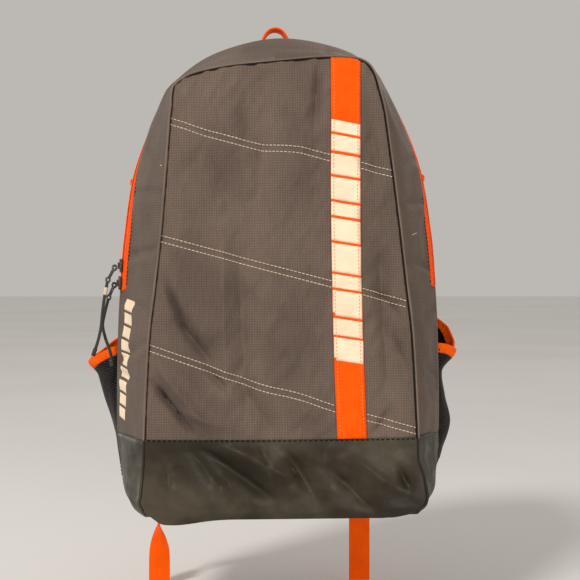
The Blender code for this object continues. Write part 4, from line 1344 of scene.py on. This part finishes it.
def pockets():
    """Side pockets of dark lining under a net, each with an elastic binding and two seams."""
    for side, sign in SIDES:
        floor = POCKETS[side]["bulge"][0][0]
        front, rear, dip = POCKETS[side]["mouth"]

        def mouth(s, below=0.0):
            return front + (rear - front) * s - dip * hump(s) - below

        def cloth(lift):
            return pocket_surface(side, sign, lambda s: np.full_like(s, floor),
                                  lambda s: mouth(s, BINDING * 0.6), lift)

        def elastic(s, t):
            points = pocket_surface(side, sign, lambda u: mouth(u, BINDING), mouth, 0.0008)(s, t)
            gathered = 0.00045 * np.sin(s * MOUTH_LENGTH * 2 * math.pi / GATHER_PITCH)
            points[..., 0] += sign * (gathered + 0.0007) * hump(t)
            return points

        body, facing = cloth(0.0), (sign, 0, 0)
        on_pack(sheet(f"side_pocket_cloth_{side}", body, 60, 90, 0.0008, "lining", facing),
                f"side_pocket_{side}")
        on_pack(net(f"side_pocket_net_{side}", cloth(0.0006), 60, 86, 0.0008, "mesh"))
        on_pack(sheet(f"pocket_elastic_{side}", elastic, 200, 8, 0.0026, "elastic", facing),
                f"pocket_binding_{side}")
        t, outward = np.linspace(0, 1, 60), np.tile((sign, 0.0, 0.0), (60, 1))
        seam = [(body(np.full_like(t, s), t) + (sign * 0.0006, 0, 0), outward) for s in (0.004, 0.996)]
        on_pack(thread(f"pocket_seam_{side}", seam, "dark_thread_and_seam_shadow", 0.003, 0.001, 0.0006))


def side_loops():
    """Small folded loops of tape beside the zip, a little narrower at their bends."""
    half = 0.0013
    bend = np.linspace(-math.pi / 2, math.pi / 2, 14)
    for side, sign in SIDES:
        low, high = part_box(f"side_loop_{side}")
        middle = (low + high) / 2
        root, reach = low.x if sign > 0 else high.x, (high.x - low.x) * LOOP_REACH
        out = np.concatenate([[0.0], reach + half * np.cos(bend), [0.0]])
        across = np.concatenate([[-half], half * np.sin(bend), [half]])
        path = np.stack([root + sign * out, middle.y + across, np.full_like(out, middle.z)], -1)
        path = resampled(path, 0.0006)
        profile = np.tile(band_profile(0.0092, 0.0012), (len(path), 1, 1))
        tip = np.abs(path[:, 0] - root) / (reach + half)
        profile[..., 0] *= (1 - 0.4 * tip**3)[:, None]
        up = np.cross((0.0, 0.0, 1.0), np.gradient(path, axis=0))
        on_pack(swept(f"tie_loop_{side}", path, up, profile, "web"), f"side_loop_{side}")


def haul_loop():
    """Doubled webbing bent into a loop, its feet sewn down on the top of the bag."""
    step = depth_step(0.0)
    lift = np.array((0.0, 0.0, 0.002))
    foot_out, foot_in = skin(9.3, step) + lift, skin(9.62, step) + lift
    top = 0.0011
    right = np.array([foot_out, foot_out * 0.4 + foot_in * 0.6, foot_in, foot_in + (-0.001, 0, 0.006),
                      (0.0172, 0, 0.514 - SEAT_HEIGHT), (0.0132, 0, 0.524 - SEAT_HEIGHT),
                      (0.0075, 0, top - 0.0026)])
    nodes = np.concatenate([right, [(0.0, 0.0, top)], right[::-1] * (-1, 1, 1)])
    nodes[:, 1] = 0.0
    path = resampled(along(nodes, np.linspace(0, len(nodes) - 1, 200)), 0.0015)
    loop = swept("haul_loop_webbing", path, np.gradient(path, axis=0)[:, (2, 1, 0)] * (-1, 1, 1),
                 band_profile(0.02, 0.0028), "web")
    on_pack(loop, "haul_loop")
    tree = surface_tree(loop)
    lines, half = [], 0.0075
    for sign in (-1, 1):
        inner, outer = sign * (abs(foot_in[0]) + 0.004), sign * (abs(foot_out[0]) - 0.002)
        box = ((inner, -half), (outer, -half), (outer, half), (inner, half), (inner, -half), (outer, half))
        corners = np.array([(x, y, 0.05) for x, y in box])
        lines.append(laid(tree, resampled_corners(corners, 0.0012), (0, 0, -1)))
    on_pack(thread("haul_loop_stitches", lines, "orange_thread", 0.0024, 0.0008, 0.0004))


def resampled_corners(corners, gap):
    """Points at a gap along a polyline, its corners among them."""
    runs = [resampled(corners[k:k + 2], gap)[:-1] for k in range(len(corners) - 1)]
    return np.concatenate([*runs, corners[-1:]])


# Back of the bag

def back_width(height):
    x, z = outline_point(2, np.linspace(0.0, CROWN, 900))
    return np.interp(height, z, x)


def back_and_binding():
    """The back panel, and the bindings along its seam and round the base."""
    top = OUTLINES[CROWN][2][1]

    def surface(s, t):
        height = 0.003 + (top - 0.0035) * (1 - (1 - t) ** 1.6)
        x = (2 * s - 1) * back_width(height)
        y = BACK_Y - 0.0006 + 0.001 * ripple(x, height, 0.03, 41) * smoothstep(0, 0.1, np.minimum(s, 1 - s))
        return np.stack(np.broadcast_arrays(x, np.minimum(y, BACK_Y), height - SEAT_HEIGHT), -1)

    piece = sheet("back_panel_cloth", surface, 70, 130, CLOTH, "ripstop", (0, 1, 0), flat_uv)
    on_pack(piece, "back_panel")
    rows = over_top(np.linspace(0.02, 2 * CROWN - 0.02, 420))
    edge = skin(rows, np.full_like(rows, 2.0)) + np.array((0, -0.0006, 0))
    on_pack(swept("back_seam_binding", edge, (0, 1, 0), round_profile(0.0024, 10, 0.9), "binding"))
    steps = np.linspace(0.0, 2.0, 60)
    right = skin(np.full_like(steps, 0.02), steps)
    loop = np.concatenate([right, right[::-1] * (-1, 1, 1), right[:1]]) + (0, 0, 0.0004)
    on_pack(swept("base_seam_binding", resampled(loop, 0.004), (0, 0, 1), round_profile(0.0016), "coated"))


FOAM_PRESSURE, FOAM_FRAMES = 4.0, 20


def settled(obj, voxel, cap):
    """Cloth filled with foam: remeshed and swollen under pressure, by at most cap."""
    remesh = obj.modifiers.new("remesh", "REMESH")
    remesh.mode = "VOXEL"
    remesh.voxel_size = voxel
    graph = bpy.context.evaluated_depsgraph_get()
    mesh = bpy.data.meshes.new_from_object(obj.evaluated_get(graph))
    obj.modifiers.clear()
    obj.data = mesh
    mesh.materials.clear()
    rest = coordinates(mesh)
    cloth = obj.modifiers.new("cloth", "CLOTH")
    settings = cloth.settings
    settings.quality = 6
    settings.use_pressure = True
    settings.uniform_pressure_force = FOAM_PRESSURE
    settings.effector_weights.gravity = 0.0
    settings.tension_stiffness = settings.compression_stiffness = 12
    settings.bending_stiffness = 0.4
    cloth.point_cache.frame_start, cloth.point_cache.frame_end = 1, FOAM_FRAMES
    for number in range(1, FOAM_FRAMES + 1):
        bpy.context.scene.frame_set(number)
    graph = bpy.context.evaluated_depsgraph_get()
    moved = coordinates(obj.evaluated_get(graph).data) - rest
    far = np.linalg.norm(moved, axis=1, keepdims=True)
    moved *= np.minimum(1.0, cap / np.maximum(far, 1e-9))
    obj.modifiers.clear()
    mesh.vertices.foreach_set("co", (rest + moved).astype(np.float32).ravel())
    bpy.context.scene.frame_set(1)


def smoothed(obj):
    rounding = obj.modifiers.new("rounding", "SUBSURF")
    rounding.levels = rounding.render_levels = 1
    obj.data.shade_smooth()


def set_coordinates(obj, points):
    obj.data.vertices.foreach_set("co", points.astype(np.float32).ravel())
    obj.data.update()


PAD_CHANNELS = 6
PAD_RISE, PAD_CORNER = 0.0088, 0.010


def back_pads():
    """Two quilted cushions with bound edges."""
    for side, _ in SIDES:
        low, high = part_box(f"back_pad_{side}")
        size, middle = high - low, np.array((low + high) / 2)
        points, faces = rounded_block((size.x - 0.004, PAD_RISE, size.z - 0.004), 0.0038)
        shape = joined(f"back_cushion_{side}", [(points + middle, faces)], "pad")
        settled(shape, 0.0042, 0.005)
        co = coordinates(shape.data)
        front = smoothstep(middle[1] - 0.001, middle[1] + 0.003, co[:, 1])
        pitch = size.z / PAD_CHANNELS
        into = (co[:, 2] - low.z + pitch / 2) % pitch - pitch / 2
        inner = smoothstep(low.z + 0.012, low.z + 0.02, co[:, 2])
        inner *= 1 - smoothstep(high.z - 0.02, high.z - 0.012, co[:, 2])
        co[:, 1] -= front * inner * 0.0052 * bell(into, 0.0045)
        rim = np.minimum(co[:, 0] - low.x, high.x - co[:, 0])
        co[:, 1] -= front * 0.0035 * bell(rim, 0.006)
        co[:, 1] = np.clip(co[:, 1], BACK_Y + 0.0006, high.y + 0.003)
        set_coordinates(shape, co)
        shape.data.materials.append(LOOKS["pad"])
        smoothed(shape)
        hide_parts(f"back_pad_{side}")
        on_pack(shape)
        border = rounded_path(size.x - 0.001, size.z - 0.001, PAD_CORNER)
        path = [(middle[0] + x, BACK_Y + 0.002, middle[2] + z) for x, z in border]
        on_pack(swept(f"back_cushion_binding_{side}", path, (0, 1, 0), round_profile(0.0021, 8, 0.9),
                      "binding"))


def rounded_path(width, height, radius, steps=6):
    """A closed rectangle of (x, z) with rounded corners."""
    points = []
    for quarter, (across, up) in enumerate(((1, 1), (-1, 1), (-1, -1), (1, -1))):
        for step in range(steps + 1):
            angle = (quarter + step / steps) * math.pi / 2
            points.append((across * (width / 2 - radius) + radius * math.cos(angle), 0,
                           up * (height / 2 - radius) + radius * math.sin(angle)))
    return resampled([*points, points[0]], 0.004)[:, (0, 2)]


def yoke():
    """The patch that the straps are sewn under, with its border of stitches."""
    low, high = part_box("yoke_patch")
    middle = (low + high) / 2

    def surface(s, t):
        x = low.x + (high.x - low.x) * s
        z = low.z + (high.z - low.z) * t
        rim = np.minimum(np.minimum(s, 1 - s) * 0.16, np.minimum(t, 1 - t) * 0.034)
        return np.stack([x, high.y - 0.0018 * np.exp(-rim / 0.003) + 0.0003 * ripple(x, z, 0.012, 51), z], -1)

    piece = sheet("yoke_cloth", surface, 60, 16, CLOTH, "coated", (0, 1, 0))
    on_pack(piece, "yoke_patch")
    border = rounded_path(high.x - low.x - 0.008, high.z - low.z - 0.008, 0.004)
    behind = [(middle.x + x, 0.2, middle.z + z) for x, z in border]
    lines = [laid(surface_tree(piece), behind, (0, -1, 0))]
    on_pack(thread("yoke_stitches", lines, "dark_thread_and_seam_shadow", 0.003, 0.001, 0.0005))


# Corners of the right anchor wing, as (x, height): outer low, outer high, inner high, inner low
WING = ((0.1490, 0.030), (0.1525, 0.082), (0.1300, 0.078), (0.1240, 0.056))


def anchor_wings():
    """The stiff triangles that hold the lower ends of the adjusting webbing."""
    for side, sign in SIDES:
        back_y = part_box(f"anchor_wing_{side}")[1].y

        def surface(s, t):
            x, z = ((low * (1 - t) + high * t) * (1 - s) + (inner_low * (1 - t) + inner_high * t) * s
                    for low, high, inner_high, inner_low in zip(*WING))
            return np.stack([sign * x, 0 * x + back_y + 0.0002 * ripple(x, z, 0.01, 52), z - SEAT_HEIGHT], -1)

        piece = sheet(f"anchor_wing_cloth_{side}", surface, 16, 20, CLOTH, "coated",
                      (0, 1, 0))
        on_pack(piece, f"anchor_wing_{side}")


# Shoulder straps

def level_normals(path):
    """Normals of webbing or foam that stays level from side to side."""
    tangents = np.gradient(path, axis=0)
    return unit(np.stack([np.zeros(len(path)), -tangents[:, 2], tangents[:, 1]], -1))


STRAP_SIDES = 28


def strap_shape(sign):
    """Closed foam shape along the strap's middle line, a little thinner than the finished strap."""
    t = np.linspace(0, len(STRAP_LINE) - 1, 90)
    line = along(STRAP_LINE, t)
    normals = level_normals(line[:, :3])
    angles = np.arange(STRAP_SIDES) * 2 * math.pi / STRAP_SIDES
    across = np.sign(np.cos(angles)) * np.abs(np.cos(angles)) ** 0.35
    out = np.sign(np.sin(angles)) * np.abs(np.sin(angles)) ** 0.8
    width = line[:, 3] / 2 - 0.002
    depth = (STRAP_DEPTH - 0.004) / 2
    centre = line[:, :3] - (0, 0, SEAT_HEIGHT)
    points = (centre[:, None] + np.array((1.0, 0, 0)) * (width[:, None] * across)[..., None]
              + normals[:, None] * (depth * out)[None, :, None])
    points[..., 0] *= sign
    faces = tube_faces(len(t), STRAP_SIDES)
    if sign < 0:
        faces = [face[::-1] for face in faces]
    return points.reshape(-1, 3), faces, centre * (sign, 1, 1), normals, line[:, 3]


def lock_arc(height, radius, start, end):
    """Points round a bar of the lock, from one angle to another."""
    angles = np.radians(np.linspace(start, end, 7))
    return np.stack([np.full_like(angles, LOCK_X), LOCK_Y + radius * np.cos(angles),
                     height + radius * np.sin(angles)], -1)


def web_run(points, sign):
    path = np.asarray(points, float) * (sign, 1, 1) - (0, 0, SEAT_HEIGHT)
    return resampled(along(path, np.linspace(0, len(path) - 1, 400)), 0.0012)


def webbing(name, path):
    """Level webbing along a path."""
    return swept(name, path, level_normals(path), band_profile(WEB_WIDTH, WEB), "web")


def strap_pad(side, sign):
    """The foam pad, pressed thin at its rims and bound along them."""
    points, faces, centre, normals, widths = strap_shape(sign)
    pad = joined(f"shoulder_pad_{side}", [(points, faces)], "strap")
    settled(pad, 0.004, 0.004)
    co = coordinates(pad.data)
    nearest = np.abs(co[:, None, 2] - centre[None, :, 2]).argmin(1)
    rim = widths[nearest] / 2 - np.abs(co[:, 0] - centre[nearest, 0])
    out = ((co - centre[nearest]) * normals[nearest]).sum(1)
    press = 1 - 0.55 * bell(np.clip(rim, 0, 1), 0.006)
    set_coordinates(pad, co + normals[nearest] * (out * (press - 1))[:, None])
    pad.data.materials.clear()
    for look in ("strap", "pad"):
        pad.data.materials.append(LOOKS[look])
    for polygon in pad.data.polygons:
        polygon.material_index = 1 if polygon.normal.y < -0.2 else 0
    smoothed(pad)
    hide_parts(f"shoulder_strap_{side}")
    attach(pad, f"strap_{side}_body")
    for edge_name, edge_sign in (("inner", -1), ("outer", 1)):
        path = centre + np.stack([edge_sign * (widths / 2 - 0.0012), 0 * widths, 0 * widths], -1)
        riding(swept(f"strap_binding_{side}_{edge_name}", path, normals, round_profile(0.0026, 10, 0.95),
                     "binding"), f"strap_{side}_body")


def strap_web(side, sign):
    """The webbing sewn down the strap, its end looped round the lock's top bar."""
    outer = STRAP_DEPTH / 2 + 0.0016 + WEB / 2
    places = [along(STRAP_LINE, 3.5), *STRAP_LINE[4:]]
    run = [(x, y + outer, height) for x, y, height, _ in places]
    run += [(LOCK_X, LOCK_Y + TOP_LOOP_RADIUS + 0.0004, LOCK_TOP_BAR + 0.008),
            *lock_arc(LOCK_TOP_BAR, TOP_LOOP_RADIUS, 0, -180),
            (LOCK_X, LOCK_Y - TOP_LOOP_RADIUS, LOCK_TOP_BAR + 0.016)]
    path = web_run(run, sign)
    riding(webbing(f"strap_web_{side}", path), f"strap_{side}_body", f"strap_webbing_{side}")
    sewn = path[: int(len(path) * 0.7)]
    up = np.tile((0.0, 1.0, 0.0), (len(sewn), 1))
    lines = [(sewn + (shift, WEB / 2 + 0.0001, 0), up) for shift in (-0.0095, 0.0095)]
    riding(thread(f"strap_web_stitches_{side}", lines, "orange_thread", 0.0028, 0.0009,
                  0.0004), f"strap_{side}_body")


def lower_webbing(side, sign):
    """From the anchor wing up to the lock, baked in place on no body."""
    run = ((0.14, BACK_Y + 0.0044, 0.044), (0.1365, BACK_Y + 0.0048, 0.058), (0.125, 0.027, 0.084),
           (0.112, 0.035, 0.104), (LOCK_X, 0.0405, 0.119), (LOCK_X, LOCK_Y - MIDDLE_LOOP_RADIUS, 0.1262))
    web = webbing(f"adjust_web_{side}", web_run(run, sign))
    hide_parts(f"adjust_webbing_{side}")
    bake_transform(web)


def strap_tail(side, sign):
    """Free end of the adjusting webbing, from the lock down past the bag."""
    bar = lock_arc(LOCK_MIDDLE_BAR, MIDDLE_LOOP_RADIUS, 180, 0) * (sign, 1, 1)
    start = LOCK_MIDDLE_BAR - 0.008
    over = [(sign * LOCK_X, LOCK_Y - MIDDLE_LOOP_RADIUS, LOCK_MIDDLE_BAR - 0.003), *bar]
    heights = np.linspace(start, TAIL_END, 15)
    drift = sign * LOCK_X + TAIL_DRIFT[side] * smoothstep(start, 0.0, heights)
    fall = np.stack([drift, np.full_like(heights, LOCK_Y + MIDDLE_LOOP_RADIUS), heights], -1)
    nodes = np.array([*over, *fall]) - (0, 0, SEAT_HEIGHT)
    path = resampled(along(nodes, np.linspace(0, len(nodes) - 1, 500)), TAIL_GAP)
    height = path[:, 2] + SEAT_HEIGHT
    angle = TAIL_TWIST[side] * smoothstep(TWIST_TOP, TWIST_LOW, height)
    turned = np.stack([-np.sin(angle), np.cos(angle), 0 * angle], -1)
    hanging = smoothstep(len(over) * 0.004, len(over) * 0.005, np.arange(len(path)) * TAIL_GAP)[:, None]
    profile = np.tile(band_profile(WEB_WIDTH, WEB), (len(path), 1, 1))
    profile[height < TAIL_END + HEM, :, 1] *= 1.9
    up = level_normals(path) * (1 - hanging) + turned * hanging
    tail = swept(f"tail_web_{side}", path, up, profile, "web")
    riding(tail, f"tail_{side}_body", f"strap_tail_{side}")
    round(float(lengths_along(path)[-1]), 3)


def shoulder_straps():
    for side, sign in SIDES:
        strap_pad(side, sign)
        strap_web(side, sign)
    for side, sign in SIDES:
        lower_webbing(side, sign)


def hard_parts():
    """The CAD parts that show as they are."""
    looks = {"base_board": "stiffener", "frame_sheet": "stiffener", "ladder_lock_left": "plastic",
             "ladder_lock_right": "plastic"}
    for node, look in looks.items():
        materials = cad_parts[node].data.materials
        materials.clear()
        materials.append(LOOKS[look])


# Camera, floor and light

FOCAL, SENSOR = 68.3, 36.0
CAMERA = (-0.0495, -1.278, -0.301)
TURN = -math.atan(0.0523)
FLOOR_Z, FLOOR_REACH = -0.655, 60.0


def camera():
    data = bpy.data.cameras.new("camera")
    data.lens, data.sensor_width, data.clip_end = FOCAL, SENSOR, 100
    obj = bpy.data.objects.new("camera", data)
    obj.location = CAMERA
    obj.rotation_euler = (math.pi / 2, 0, TURN)
    bpy.context.scene.collection.objects.link(obj)
    bpy.context.scene.camera = obj
    bpy.context.scene.view_settings.view_transform = "Standard"


def area_light(name, place, target, size, power, colour, unlit=None):
    """A round soft light; unlit is a piece that it leaves out, so that the floor shows no edge of it."""
    data = bpy.data.lights.new(name, "AREA")
    data.shape, data.size, data.energy, data.color = "DISK", size, power, colour
    obj = bpy.data.objects.new(name, data)
    obj.location = place
    obj.rotation_euler = (Vector(target) - Vector(place)).to_track_quat("-Z", "Y").to_euler()
    bpy.context.scene.collection.objects.link(obj)
    if unlit is not None:
        receivers = bpy.data.collections.new(f"{name}_receivers")
        receivers.objects.link(unlit)
        receivers.collection_objects[0].light_linking.link_state = "EXCLUDE"
        obj.light_linking.receiver_collection = receivers


def studio():
    """A pale floor, an even sky and four soft lights."""
    mesh = bpy.data.meshes.new("floor")
    corners = [(x * FLOOR_REACH, y * FLOOR_REACH, FLOOR_Z) for x, y in ((-1, -1), (1, -1), (1, 1), (-1, 1))]
    mesh.from_pydata(corners, [], [(0, 1, 2, 3)])
    look = Look("floor", (0.86, 0.85, 0.83), 0.7)
    patches = look.toned(look.colour, look.place(on_cloth=False), 0.8, 0.97, 1.03, 2)
    mesh.materials.append(look.finish(patches))
    floor = bpy.data.objects.new("floor", mesh)
    bpy.context.scene.collection.objects.link(floor)
    world = bpy.data.worlds.new("studio")
    world.use_nodes = True
    background = world.node_tree.nodes["Background"].inputs
    background["Color"].default_value = (0.93, 0.89, 0.835, 1.0)
    background["Strength"].default_value = 0.54
    bpy.context.scene.world = world
    target = (0.0, -0.08, -0.3)
    area_light("key", (-2.4, -3.1, 3.2), target, 1.0, 150, (1.0, 0.965, 0.92))
    area_light("fill", (2.0, -4.0, -0.3), target, 2.2, 100, (1.0, 0.95, 0.9), floor)
    area_light("rear", (2.2, 4.0, 2.3), target, 2.6, 80, (1.0, 0.98, 0.95), floor)
    area_light("rear_low", (-2.8, 2.8, -0.1), target, 2.4, 34, (1.0, 0.98, 0.95), floor)


def main():
    camera()
    for side, sign in SIDES:
        strap_tail(side, sign)
    pulls()
    panel = front_panel()
    gusset = gussets()
    boot_cloth = boot()
    panel_tree, boot_tree = surface_tree(panel), surface_tree(boot_cloth)
    gusset_tree = surface_tree(gusset)
    over_fold(panel)
    over_fold(gusset)
    seam_lines(panel_tree, boot_tree)
    web_tree = stripe(panel_tree)
    prints(web_tree, gusset_tree)
    loose_threads(gusset_tree)
    piping()
    zip_tapes()
    zip_coils()
    gusset_topstitch()
    side_seams()
    pockets()
    side_loops()
    haul_loop()
    back_and_binding()
    back_pads()
    yoke()
    anchor_wings()
    shoulder_straps()
    hard_parts()
    studio()


main()
